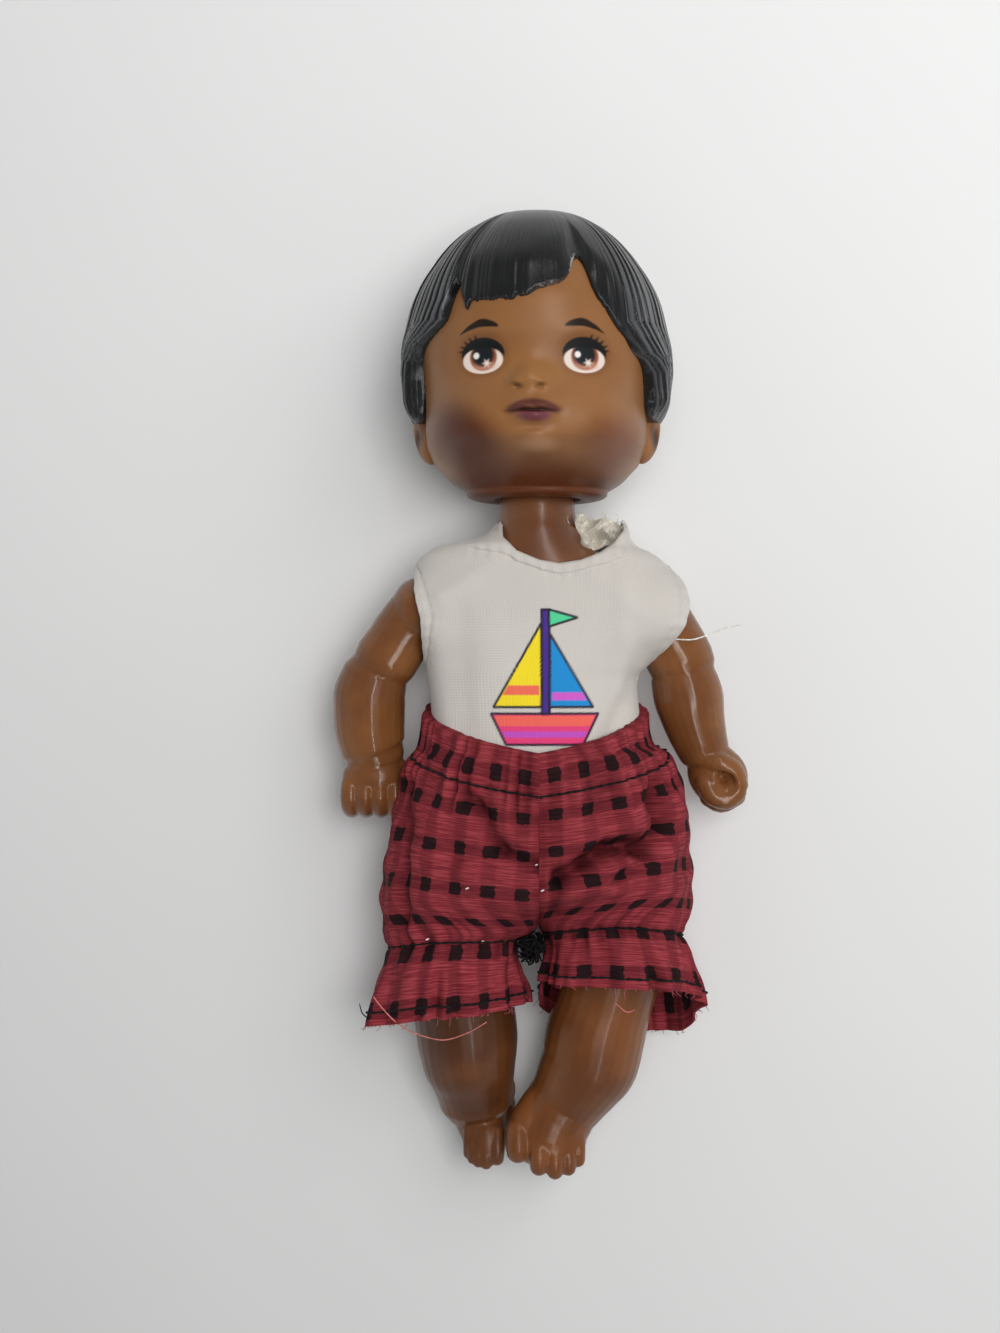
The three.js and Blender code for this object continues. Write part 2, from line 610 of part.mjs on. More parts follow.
// A point of the head's skin, or of its inside when inset by the wall, at a height and a turn from the face.
function headPoint(y, turn, inset) {
  const row = skull(y);
  const [halfWidth, forward, backward] = row.slice(0, 3).map((value) => Math.max(value - inset, 0.3));
  const ahead = Math.cos(turn) > 0;
  const bend = ahead ? 2 / FACE_FULLNESS : 1;
  const x = halfWidth * signedPower(Math.sin(turn), bend);
  const level = row[3] + (ahead ? forward : backward) * signedPower(Math.cos(turn), bend);
  if (inset) return corner(x, y, level);
  const facing = smooth(Math.cos(turn) / 0.3) * smooth((y - 1.9) / 0.8);
  const place = corner(x, y, level + facing * faceRelief(x, y));
  const lean = corner(x / 13.5 ** 2, (y - 13) / 18.5 ** 2, place.z / 14.5 ** 2).normalize();
  const degrees = THREE.MathUtils.radToDeg(turn > Math.PI ? turn - 2 * Math.PI : turn);
  return place.addScaledVector(lean, hairDepth(y, degrees));
}

// The head's surface at the given heights, from the rim to the crown.
function headLoft(heights, sides, inset) {
  const turns = spread(0, 2 * Math.PI, sides).slice(0, -1);
  return loft(heights.map((y) => turns.map((turn) => headPoint(y, turn, inset))));
}

// Heights from low to high that draw together towards the crown.
function crownward(low, high, steps) {
  return spread(0, 1, steps).map((t) => low + (high - low) * Math.sin((t * Math.PI) / 2));
}

function head() {
  const middle = new THREE.Matrix4().makeTranslation(0, NECK_RIM_Y, HEAD_Z - AXIS_Z);
  const turn = new THREE.Matrix4().makeRotationY(THREE.MathUtils.degToRad(HEAD_TURN_DEG));
  const onNeck = new THREE.Matrix4().makeTranslation(0, 0, AXIS_Z).multiply(turn).multiply(middle);
  const jaw = spread(0, 4, 6);
  const face = spread(4, 18, 21).slice(1);
  const fringe = spread(18, upper(0.7), 9).slice(1);
  const crown = crownward(upper(0.7), SCALP_Y, 7).slice(1);
  let shell = headLoft([...jaw, ...face, ...fringe, ...crown], HEAD_SIDES, 0);
  for (const side of [-1, 1]) {
    const ear = new THREE.SphereGeometry(1, 12, 10).scale(1.5, 3.1, 2.1);
    ear.rotateZ(THREE.MathUtils.degToRad(-14 * side));
    shell = shell.add(solid(ear.translate(side * (FACE_HALF_WIDTH + 0.1), EAR_Y, -1.4)));
  }
  const bore = crownward(HEAD_WALL, SCALP_Y - HEAD_WALL, 8);
  shell = shell.subtract(headLoft(bore, HEAD_BORE_SIDES, HEAD_WALL));
  shell = shell.transform(onNeck.toArray());
  shell = shell.subtract(barY(NECK_GROOVE_RADIUS + GAP, NECK_RIM_Y - 5, NECK_RIM_Y + HEAD_WALL + 3));
  const knobRoom = NECK_KNOB_RADIUS + GAP;
  shell = shell.subtract(
    barY(knobRoom, NECK_RIM_Y + HEAD_WALL, GROOVE_HIGH_Y + NECK_KNOB_LENGTH + GAP),
  );
  return mesh("head", shell.intersect(above(0)), HEAD_VINYL);
}

// Top

const SHIRT_TOP_Y = COLLAR_TOP_Y - CLOTH;
const knitShape = through([
  [SHIRT_HEM_Y - 2, BELLY_HALF_WIDTH, BELLY_HALF_DEPTH],
  [SHOULDER_Y * 0.42, BELLY_HALF_WIDTH, BELLY_HALF_DEPTH],
  [SHOULDER_Y * 0.72, CHEST_HALF_WIDTH, CHEST_HALF_DEPTH],
  [SHOULDER_Y - 4.6, SHOULDER_HALF_WIDTH + 0.4, CHEST_HALF_DEPTH - 0.3],
  [SHOULDER_Y - 1, SHOULDER_HALF_WIDTH + SHOULDER_CAP - 0.2, SHOULDER_HALF_DEPTH + 0.5],
  [SHOULDER_Y + 2.6, SHOULDER_HALF_WIDTH + SHOULDER_CAP, SHOULDER_HALF_DEPTH],
  [SHOULDER_Y + 5, SHOULDER_HALF_WIDTH + 1, SHOULDER_HALF_DEPTH - 0.2],
  [SHOULDER_Y + 6.4, SHOULDER_HALF_WIDTH - 1, SHOULDER_HALF_DEPTH - 0.5],
  [SHOULDER_Y + 8, COLLAR_HALF_WIDTH + 1.4, SHOULDER_HALF_DEPTH - 0.6],
  [SHOULDER_Y + 9.6, COLLAR_HALF_WIDTH, SHOULDER_HALF_DEPTH - 0.6],
  [COLLAR_TOP_Y, COLLAR_HALF_WIDTH - 0.3, SHOULDER_HALF_DEPTH - 0.6],
]);

// The space inside the knit grown by an offset, from below the hem to past the collar.
function knitLoft(offset, lowY, highY) {
  const rings = spread(lowY, highY, 14).map((y) => {
    const lift = smooth((y - SHOULDER_Y) / 5);
    const [halfWidth, halfDepth] = knitShape(y).map((half) => half + SHIRT_EASE + offset);
    return oval({ y: y + lift * offset, halfWidth, halfDepth, fullness: TRUNK_FULLNESS, sides: CLOTH_SIDES });
  });
  return loft(rings);
}

function shirt() {
  const inside = knitLoft(0, SHIRT_HEM_Y - 2, COLLAR_TOP_Y + 2);
  let knit = knitLoft(CLOTH, SHIRT_HEM_Y, SHIRT_TOP_Y).subtract(inside);
  const neckNormal = corner(0, -1, -NECKLINE_SLOPE).normalize();
  const neckPoint = corner(0, NECKLINE_FRONT_Y, AXIS_Z + SHOULDER_HALF_DEPTH + SHIRT_EASE);
  knit = knit.trimByPlane(neckNormal.toArray(), neckNormal.dot(neckPoint));
  for (const side of [-1, 1]) {
    const edge = side * (SHOULDER_HALF_WIDTH + GAP);
    knit = knit.subtract(barX(ARMHOLE_RADIUS, edge, side * FAR, SHOULDER_Y - ARMHOLE_DROP, 20));
    const brim = side * (SHOULDER_HALF_WIDTH + ARMHOLE_BRIM);
    knit = knit.subtract(barX(2 * ARMHOLE_RADIUS, brim, side * FAR, SHOULDER_Y - ARMHOLE_DROP, 20));
  }
  const front = knit.intersect(above(AXIS_Z + GAP / 2));
  const back = knit.intersect(below(AXIS_Z - GAP / 2));

  // The back closes with one half lapping over the other, and a hook and a loop tape between them.
  const layers = { loop: CLOTH + GAP, hook: CLOTH + TAPE_THICKNESS + 2 * GAP };
  const flapFrom = layers.hook + TAPE_THICKNESS + GAP;
  const layer = (low, high, x0, x1, y0, y1) =>
    knitLoft(high, SHIRT_HEM_Y, SHIRT_TOP_Y)
      .subtract(knitLoft(low, SHIRT_HEM_Y - 2, COLLAR_TOP_Y + 2))
      .intersect(between(x0, x1, y0, y1))
      .intersect(below(AXIS_Z - GAP / 2));
  const strap = FLAP_HALF_WIDTH + 0.6;
  const [low, high] = [CLOSURE_LOW_Y, CLOSURE_HIGH_Y];
  const lapWindow = between(-FLAP_HALF_WIDTH, FLAP_HALF_WIDTH, low, high);
  const underLap = back.intersect(between(-GAP / 2, FLAP_HALF_WIDTH - GAP, low + GAP, high - GAP));
  const right = back.intersect(between(-FAR, -GAP / 2, -FAR, FAR)).add(underLap);
  const left = back
    .intersect(between(GAP / 2, FAR, -FAR, FAR))
    .subtract(lapWindow)
    .add(layer(0, flapFrom + CLOTH, FLAP_HALF_WIDTH, strap, low, high))
    .add(layer(flapFrom, flapFrom + CLOTH, -FLAP_HALF_WIDTH, strap, low, high));
  const tape = (from) =>
    layer(from, from + TAPE_THICKNESS, -TAPE_HALF_WIDTH, TAPE_HALF_WIDTH, low + 0.5, high - 0.5);
  return [
    mesh("shirt_front_panel", front, KNIT),
    mesh("shirt_back_left_panel", left, KNIT),
    mesh("shirt_back_right_panel", right, KNIT),
    mesh("closure_loop_tape", tape(layers.loop), TAPE),
    mesh("closure_hook_tape", tape(layers.hook), TAPE),
  ];
}

// Shorts

// The waistband is a fold of cotton around the elastic. Offsets of its layers from the torso's belly:
const CASING_INSIDE = SHIRT_EASE + CLOTH + GAP;
const ELASTIC_INSIDE = CASING_INSIDE + CLOTH + GAP;
const BAND_INSIDE = ELASTIC_INSIDE + ELASTIC_THICKNESS + GAP;
const BAND_OUTSIDE = BAND_INSIDE + CLOTH;
const WAIST_FULLNESS = TRUNK_FULLNESS;

const waistNormal = corner(0, 1, WAIST_SLOPE).normalize();
// Keeps what lies below the tilted waist plane, lowered by a drop along the body.
const belowWaist = (body, drop) =>
  body.trimByPlane(waistNormal.clone().negate().toArray(), -waistNormal.dot(corner(0, WAIST_Y - drop, AXIS_Z)));
const aboveWaist = (body, drop) =>
  body.trimByPlane(waistNormal.toArray(), waistNormal.dot(corner(0, WAIST_Y - drop, AXIS_Z)));

const seatShape = through([
  [CUFF_Y + 0.1, SEAT_HALF_WIDTH - 7, SEAT_HALF_DEPTH - 6],
  [CUFF_Y + 1.4, SEAT_HALF_WIDTH - 2.6, SEAT_HALF_DEPTH - 2.8],
  [CUFF_Y + 6, SEAT_HALF_WIDTH, SEAT_HALF_DEPTH - 0.4],
  [CUFF_Y + 12, SEAT_HALF_WIDTH - 0.4, SEAT_HALF_DEPTH],
  [WAIST_Y - WAISTBAND_HEIGHT - 4, BELLY_HALF_WIDTH + BAND_OUTSIDE + 1.6, BELLY_HALF_DEPTH + BAND_OUTSIDE + 0.5],
  [WAIST_Y - WAISTBAND_HEIGHT, BELLY_HALF_WIDTH + BAND_OUTSIDE + 0.1, BELLY_HALF_DEPTH + BAND_OUTSIDE],
  [WAIST_Y + 6, BELLY_HALF_WIDTH + BAND_OUTSIDE, BELLY_HALF_DEPTH + BAND_OUTSIDE],
]);
const SEAT_TOP_Y = WAIST_Y + 6;
const LEG_TOP_Y = 4;

// The levels lie close together where the seat rounds in between the legs.
function seatLoft(inset, highY) {
  const levels = [0.1, 0.6, 1.4, 3, 6, 9, 12].map((rise) => CUFF_Y + rise);
  levels.push(...spread(WAIST_Y - WAISTBAND_HEIGHT - 4, WAIST_Y - WAISTBAND_HEIGHT, 2), WAIST_Y, highY);
  levels[0] += Math.min(inset, CLOTH);
  const rings = levels.map((y) => {
    const [halfWidth, halfDepth] = seatShape(y).map((half) => half - inset);
    return oval({ y, halfWidth, halfDepth, fullness: WAIST_FULLNESS, sides: CLOTH_SIDES });
  });
  return loft(rings);
}

const legShape = through([
  // height, middle across, middle above the surface, half width, half depth, depth of the ruffle's waves
  [HEM_Y, LEG_OPENING_X + HEM_FLARE, AXIS_Z - 1.7, HEM_HALF_WIDTH, HEM_HALF_DEPTH, RUFFLE_DEPTH],
  [
    (CUFF_Y + HEM_Y) / 2,
    LEG_OPENING_X + HEM_FLARE / 2,
    AXIS_Z - 1.4,
    (CUFF_HALF_WIDTH + HEM_HALF_WIDTH) / 2,
    HEM_HALF_DEPTH - 0.3,
    RUFFLE_DEPTH * 0.6,
  ],
  [CUFF_Y - 0.9, LEG_OPENING_X, AXIS_Z - 1.1, CUFF_HALF_WIDTH + 0.2, CUFF_HALF_DEPTH + 0.1, RUFFLE_DEPTH * 0.2],
  [CUFF_Y, LEG_OPENING_X, AXIS_Z - 1, CUFF_HALF_WIDTH, CUFF_HALF_DEPTH, 0],
  [CUFF_Y + 2.2, LEG_OPENING_X, AXIS_Z - 0.8, CUFF_HALF_WIDTH + 0.3, CUFF_HALF_DEPTH + 0.9, 0],
  [LEG_TOP_Y, LEG_OPENING_X, AXIS_Z, CUFF_HALF_WIDTH - 0.7, CUFF_HALF_DEPTH + 0.9, 0],
]);

function legLoft(side, inset, lowY) {
  const rings = spread(lowY, LEG_TOP_Y, 9).map((y) => {
    const [x, z, halfWidth, halfDepth, wave] = legShape(y);
    return oval({
      x: side * x,
      y,
      z,
      halfWidth: halfWidth - inset,
      halfDepth: halfDepth - inset,
      sides: RUFFLE_SIDES,
      wave: -side * wave,
      waves: RUFFLE_WAVES,
    });
  });
  return loft(rings);
}

// One half of the shorts, from the middle seams round the outside, with its waistband casing, leg and ruffle.
function shortsPanel(name, side) {
  const outer = seatLoft(0, SEAT_TOP_Y).add(legLoft(side, 0, HEM_Y));
  const room = seatLoft(CLOTH, SEAT_TOP_Y + 1).add(legLoft(side, CLOTH, HEM_Y - 1));
  const turnedIn = seatLoft(BAND_OUTSIDE - CASING_INSIDE, SEAT_TOP_Y + 2);
  const channelWall = seatLoft(BAND_OUTSIDE - CASING_INSIDE - CLOTH, SEAT_TOP_Y + 2);
  const channel = belowWaist(aboveWaist(room, WAISTBAND_HEIGHT - CLOTH), CLOTH).subtract(channelWall);
  const belowBand = belowWaist(room, WAISTBAND_HEIGHT);
  const cloth = belowWaist(outer, 0).subtract(belowBand).subtract(turnedIn).subtract(channel);
  const half = cloth.intersect(outsideOf(side, GAP / 2));
  return mesh(`shorts_${name}_panel`, half.intersect(above(0)), CHECKED_COTTON);
}

// The waist elastic is a flat loop that lies in the casing, on the waist's slant.
function waistElastic() {
  const drop = (WAISTBAND_HEIGHT - WAIST_ELASTIC_WIDTH) / 2 + WAIST_ELASTIC_WIDTH;
  const loop = (turn, outward, rise) => {
    const across = signedPower(Math.cos(turn), 2 / WAIST_FULLNESS);
    const deep = signedPower(Math.sin(turn), 2 / WAIST_FULLNESS);
    const inset = CLOTH + GAP + ELASTIC_THICKNESS - outward;
    let y = WAIST_Y - drop + rise;
    for (let pass = 0; pass < 4; pass++) {
      y = WAIST_Y - drop + rise - WAIST_SLOPE * (seatShape(y)[1] - inset) * deep;
    }
    const [halfWidth, halfDepth] = seatShape(y).map((half) => half - inset);
    return corner(halfWidth * across, y, AXIS_Z + halfDepth * deep);
  };
  const section = [
    [0, 0],
    [ELASTIC_THICKNESS, 0],
    [ELASTIC_THICKNESS, WAIST_ELASTIC_WIDTH],
    [0, WAIST_ELASTIC_WIDTH],
  ];
  return mesh("waist_elastic", band(loop, section, CLOTH_SIDES), ELASTIC);
}

// A cuff elastic lies inside a leg of the shorts, along the gathering stitches.
function cuffElastic(name, side) {
  const loop = (turn, inward, rise) => {
    const y = CUFF_Y - CUFF_ELASTIC_WIDTH / 2 + rise;
    const [x, z, halfWidth, halfDepth, wave] = legShape(y);
    const inset = CLOTH + GAP + inward + wave;
    return corner(
      side * x + (halfWidth - inset) * Math.cos(turn),
      y,
      z + (halfDepth - inset) * Math.sin(turn),
    );
  };
  const section = [
    [0, 0],
    [ELASTIC_THICKNESS, 0],
    [ELASTIC_THICKNESS, CUFF_ELASTIC_WIDTH],
    [0, CUFF_ELASTIC_WIDTH],
  ];
  return mesh(`${name}_cuff_elastic`, band(loop, section, RUFFLE_SIDES), ELASTIC);
}

// Assembly

const SIDES = { right: -1, left: 1 };
const doll = new THREE.Group();
doll.add(head(), ...torso());
for (const [name, side] of Object.entries(SIDES)) {
  doll.add(arm(name, side), leg(name, side), shortsPanel(name, side), cuffElastic(name, side));
}
doll.add(...shirt(), waistElastic());

// The origin is under the middle of the doll, on the surface that it lies on.
const extent = new THREE.Box3().setFromObject(doll);
const shift = corner(-(extent.min.x + extent.max.x) / 2, -(extent.min.y + extent.max.y) / 2, 0);
for (const piece of doll.children) piece.position.copy(shift);

const pivot = (x, y) => corner(x, y, AXIS_Z).add(shift).toArray();
const soleMiddle = (name, side) => {
  const place = ([out, along, up]) => corner(side * (LEG_FACE_X + out), along, AXIS_Z + up);
  const [heel, toes] = [place(FEET[name].heel), place(FEET[name].toes)];
  const normal = soleNormal(heel, toes);
  const point = heel.clone().lerp(toes, 0.3).addScaledVector(normal, SOLE_DEPTH).add(shift);
  return { point: point.toArray(), normal: normal.toArray() };
};
doll.userData = {
  pivots: {
    neck: pivot(0, NECK_RIM_Y),
    rightShoulder: pivot(-ARM_FACE_X, SHOULDER_Y),
    leftShoulder: pivot(ARM_FACE_X, SHOULDER_Y),
    rightHip: pivot(-LEG_FACE_X, 0),
    leftHip: pivot(LEG_FACE_X, 0),
  },
  soles: { right: soleMiddle("right", -1), left: soleMiddle("left", 1) },
};

export default doll;
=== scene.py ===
import json

import bmesh
import bpy
import numpy as np
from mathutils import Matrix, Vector


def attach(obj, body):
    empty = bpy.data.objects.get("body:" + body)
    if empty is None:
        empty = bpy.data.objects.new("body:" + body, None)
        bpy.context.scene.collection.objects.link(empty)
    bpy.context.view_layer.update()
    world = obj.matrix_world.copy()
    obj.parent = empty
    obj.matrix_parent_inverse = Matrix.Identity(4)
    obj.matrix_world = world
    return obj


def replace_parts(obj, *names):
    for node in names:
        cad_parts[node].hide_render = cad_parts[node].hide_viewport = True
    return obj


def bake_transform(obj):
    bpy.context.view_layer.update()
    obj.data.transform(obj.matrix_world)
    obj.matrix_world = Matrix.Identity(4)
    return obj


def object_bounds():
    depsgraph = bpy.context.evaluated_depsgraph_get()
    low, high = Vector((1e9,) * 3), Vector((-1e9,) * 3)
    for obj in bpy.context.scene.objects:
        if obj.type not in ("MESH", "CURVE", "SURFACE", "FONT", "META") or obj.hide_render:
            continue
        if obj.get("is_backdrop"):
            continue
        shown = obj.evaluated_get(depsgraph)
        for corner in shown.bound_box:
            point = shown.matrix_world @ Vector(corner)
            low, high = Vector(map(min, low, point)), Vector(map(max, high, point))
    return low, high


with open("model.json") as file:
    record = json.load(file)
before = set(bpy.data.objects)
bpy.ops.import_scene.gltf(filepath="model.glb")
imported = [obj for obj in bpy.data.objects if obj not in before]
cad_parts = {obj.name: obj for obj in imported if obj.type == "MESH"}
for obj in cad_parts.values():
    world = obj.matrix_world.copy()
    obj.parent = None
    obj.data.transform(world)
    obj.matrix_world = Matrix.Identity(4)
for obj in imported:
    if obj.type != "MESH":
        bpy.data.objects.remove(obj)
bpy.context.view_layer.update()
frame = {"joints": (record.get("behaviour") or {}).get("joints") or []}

# Torso
# Two half shells of brown vinyl, front and back, glued along a seam that runs up both sides of the neck.
# The clothes hide all but the neck and the top of the chest. The head plugs on to the knob above the neck.

MM = 0.001
joint_at = {joint["name"]: np.array(joint["pos_m"]) / MM for joint in frame["joints"]}
hip_centre = (joint_at["left_hip"] + joint_at["right_hip"]) / 2
AXIS_Z = hip_centre[2]
SHOULDER_Y = joint_at["left_shoulder"][1] - hip_centre[1]
NECK_RIM_Y = joint_at["neck_turn"][1] - hip_centre[1]
rng = np.random.default_rng(7)


def to_frame(points):
    """Millimetres from the middle of the hips, with z up from the surface, to metres in the part's frame."""
    return (np.asarray(points, float) + [hip_centre[0], hip_centre[1], 0]) * MM


def follow(keys, values, at):
    """Smooth curve through values at keys: cubic steps whose slope at a key is the harmonic mean of the
    slopes on its two sides, so that nothing overshoots."""
    keys, values, at = np.asarray(keys, float), np.asarray(values, float), np.asarray(at, float)
    table = values.reshape(len(keys), -1)
    gap = np.diff(keys)[:, None]
    slope = np.diff(table, axis=0) / gap
    before, after = slope[:-1], slope[1:]
    same = before * after > 0
    mean = np.where(same, 2 * before * after / np.where(same, before + after, 1), 0)
    tangent = np.vstack([slope[:1], mean, slope[-1:]])
    i = np.clip(np.searchsorted(keys, at.ravel(), side="right") - 1, 0, len(keys) - 2)
    t = np.clip((at.ravel() - keys[i]) / gap[i, 0], 0, 1)[:, None]
    out = (2 * t**3 - 3 * t**2 + 1) * table[i] + (t**3 - 2 * t**2 + t) * gap[i] * tangent[i]
    out = out + (3 * t**2 - 2 * t**3) * table[i + 1] + (t**3 - t**2) * gap[i] * tangent[i + 1]
    return out.reshape(at.shape + values.shape[1:])


def ease(x):
    """0 below 0, 1 above 1, and a smooth S between."""
    x = np.clip(x, 0, 1)
    return x * x * (3 - 2 * x)


def hill(x, wide):
    """Bell curve of height 1 whose reach to either side is wide."""
    return np.exp(-((x / wide) ** 2))


def power(x, exponent):
    """A signed power, which squares off the circle of a sine or cosine."""
    return np.sign(x) * np.abs(x) ** exponent


def squared(turn, fullness):
    """Cosine and sine of a turn on a unit oval, squared off by a fullness above 2."""
    c, s = np.cos(turn), np.sin(turn)
    size = (np.abs(c) ** fullness + np.abs(s) ** fullness) ** (-1 / fullness)
    return c * size, s * size


def unit(arrows):
    """Arrows brought to length 1."""
    return arrows / np.maximum(np.linalg.norm(arrows, axis=-1, keepdims=True), 1e-9)


def reach_along(points):
    """How far along a line of points each one lies."""
    return np.cumsum(np.r_[0, np.linalg.norm(np.diff(points, axis=0), axis=1)])


def strips(rows, columns, wrap=False):
    """Quads between neighbouring points of a grid stored row by row. A wrapped grid joins its last column to
    its first."""
    i, j = np.meshgrid(np.arange(rows - 1), np.arange(columns if wrap else columns - 1), indexing="ij")
    k = (j + 1) % columns
    first, second = i * columns, (i + 1) * columns
    return np.stack([first + j, first + k, second + k, second + j], -1).reshape(-1, 4)


def closed_loft(rings):
    """Closed body through rings of points: quads between rings, and a fan to the middle of each end ring."""
    rows, columns = rings.shape[:2]
    points = np.vstack([rings.reshape(-1, 3), rings[0].mean(0), rings[-1].mean(0)])
    ring = np.arange(columns)
    after = (ring + 1) % columns
    last = (rows - 1) * columns
    start = np.stack([after, ring, np.full(columns, rows * columns)], -1)
    end = np.stack([last + ring, last + after, np.full(columns, rows * columns + 1)], -1)
    return points, strips(rows, columns, True).tolist() + start.tolist() + end.tolist()


def grid_normals(grid):
    """Unit normals of a grid, from the differences along its rows and columns."""
    return unit(np.cross(np.gradient(grid, axis=1), np.gradient(grid, axis=0)))


def two_layers(outer, inner, wrap=False):
    """Closed sheet between an outer and an inner grid of the same shape, with a rim along each open side."""
    rows, columns = outer.shape[:2]
    count = rows * columns
    skin = strips(rows, columns, wrap)
    index = np.arange(count).reshape(rows, columns)
    sides = [index[0], index[-1]]
    if wrap:
        sides = [np.append(side, side[0]) for side in sides]
    else:
        sides += [index[:, 0], index[:, -1]]
    rims = [np.stack([a[:-1], a[1:], a[1:] + count, a[:-1] + count], -1) for a in sides]
    points = np.vstack([outer.reshape(-1, 3), inner.reshape(-1, 3)])
    return points, np.vstack([skin, skin[:, ::-1] + count, *rims]).tolist()


def joined(bodies):
    """Several bodies of points and faces as one."""
    points, faces, first = [], [], 0
    for body_points, body_faces in bodies:
        points.append(body_points)
        faces += [[corner + first for corner in face] for face in body_faces]
        first += len(body_points)
    return np.vstack(points), faces


def raw_mesh(name, body):
    """A mesh of points in millimetres and faces."""
    points, faces = body
    mesh = bpy.data.meshes.new(name)
    mesh.from_pydata(to_frame(points).tolist(), [], faces)
    return mesh


def add_piece(name, body, material, uv=None, paint=None):
    """A mesh object from points and faces, with its faces turned out and shaded smooth. uv and paint give
    each point its place on the flat cloth and its colour."""
    mesh = raw_mesh(name, body)
    turned = bmesh.new()
    turned.from_mesh(mesh)
    bmesh.ops.recalc_face_normals(turned, faces=turned.faces)
    turned.to_mesh(mesh)
    turned.free()
    return dress(bpy.data.objects.new(name, mesh), material, uv, paint)


def dress(piece, material, uv=None, paint=None):
    """Links a piece to the scene, with its material, smooth shading, cloth places and colours."""
    mesh = piece.data
    mesh.polygons.foreach_set("use_smooth", np.ones(len(mesh.polygons), bool))
    if uv is not None:
        corner = np.empty(len(mesh.loops), np.int32)
        mesh.loops.foreach_get("vertex_index", corner)
        layer = mesh.uv_layers.new(name="cloth")
        layer.data.foreach_set("uv", np.asarray(uv, np.float32)[corner].ravel())
    if paint is not None:
        rgba = np.column_stack([paint, np.ones(len(paint))]).astype(np.float32)
        layer = mesh.attributes.new("paint", "FLOAT_COLOR", "POINT")
        layer.data.foreach_set("color", rgba.ravel())
    mesh.materials.clear()
    mesh.materials.append(material)
    bpy.context.collection.objects.link(piece)
    return piece


def stand_in(piece, body, node):
    """Lets a piece move with a body and stand for a node of the solids."""
    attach(piece, body)
    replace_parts(piece, node)


def tint(code):
    """Linear red, green and blue of a hex colour."""
    value = np.array([int(code[i : i + 2], 16) for i in (0, 2, 4)]) / 255
    return np.where(value <= 0.04045, value / 12.92, ((value + 0.055) / 1.055) ** 2.4)


def opaque(code):
    """The same colour with full alpha, as a colour socket takes it."""
    return (*tint(code), 1)


def put(tree, kind, inputs=None, **settings):
    """A shader node with its settings, and its inputs linked to sockets or set to values."""
    made = tree.nodes.new(kind)
    for name, value in settings.items():
        setattr(made, name, value)
    for key, value in (inputs or {}).items():
        if isinstance(value, bpy.types.NodeSocket):
            tree.links.new(value, made.inputs[key])
        else:
            made.inputs[key].default_value = value
    return made


def calc(tree, operation, a, b=0.0):
    """One step of arithmetic on node values."""
    return put(tree, "ShaderNodeMath", {0: a, 1: b}, operation=operation).outputs[0]


def fade(tree, value, low, high):
    """0 at low, 1 at high, smooth between."""
    inputs = {"Value": value, "From Min": low, "From Max": high}
    return put(tree, "ShaderNodeMapRange", inputs, interpolation_type="SMOOTHSTEP").outputs[0]


def ranged(tree, value, low, high, first=0.0, last=1.0):
    """low where a value is first, high where it is last, straight between."""
    inputs = {"Value": value, "From Min": first, "From Max": last, "To Min": low, "To Max": high}
    return put(tree, "ShaderNodeMapRange", inputs).outputs[0]


def blended(tree, share, a, b):
    """Colour a turning into colour b as share goes from 0 to 1."""
    return put(tree, "ShaderNodeMix", {0: share, 6: a, 7: b}, data_type="RGBA").outputs[2]


def vectors(tree, operation, a, b):
    """One step of arithmetic on colours or places."""
    return put(tree, "ShaderNodeVectorMath", {0: a, 1: b}, operation=operation).outputs[0]


def own_place(tree):
    """Place on the piece itself."""
    return put(tree, "ShaderNodeTexCoord").outputs["Object"]


def new_finish(name, **constants):
    """A material with its tree and its shader, whose sockets named in constants are set."""
    material = bpy.data.materials.new(name)
    material.use_nodes = True
    tree = material.node_tree
    shader = tree.nodes["Principled BSDF"]
    for key, value in constants.items():
        shader.inputs[key.replace("_", " ")].default_value = value
    return material, tree, shader


def coloured(tree, shader, colour, gloss=None):
    """Leads a colour to the shader, and a gloss where it varies."""
    tree.links.new(colour, shader.inputs["Base Color"])
    if gloss:
        tree.links.new(gloss, shader.inputs["Roughness"])


def raised(tree, shader, height, depth_mm, strength):
    """Bump from a height of 0 to 1 that stands for depth_mm."""
    inputs = {"Height": height, "Distance": depth_mm * MM, "Strength": strength}
    tree.links.new(put(tree, "ShaderNodeBump", inputs).outputs[0], shader.inputs["Normal"])


def cloudy(tree, size_mm, detail=3.0, roughness=0.5):
    """Soft noise fixed to the piece, with clouds of about that size."""
    inputs = {"Scale": 1 / (size_mm * MM), "Detail": detail, "Roughness": roughness}
    return put(tree, "ShaderNodeTexNoise", {"Vector": own_place(tree), **inputs}).outputs["Fac"]


def skin_finish(name, dark, light, low, high):
    """Glossy tinted vinyl: two browns in soft clouds, gloss that varies a little, and a fine grain."""
    material, tree, shader = new_finish(name, IOR=1.5)
    browns = blended(tree, fade(tree, cloudy(tree, 7), 0.3, 0.7), opaque(dark), opaque(light))
    coloured(tree, shader, browns, ranged(tree, cloudy(tree, 3, 4), low, high))
    raised(tree, shader, cloudy(tree, 0.9, 4, 0.6), 0.03, 0.35)
    return material


skin = skin_finish("body_vinyl", "67402a", "7c5030", 0.2, 0.3)

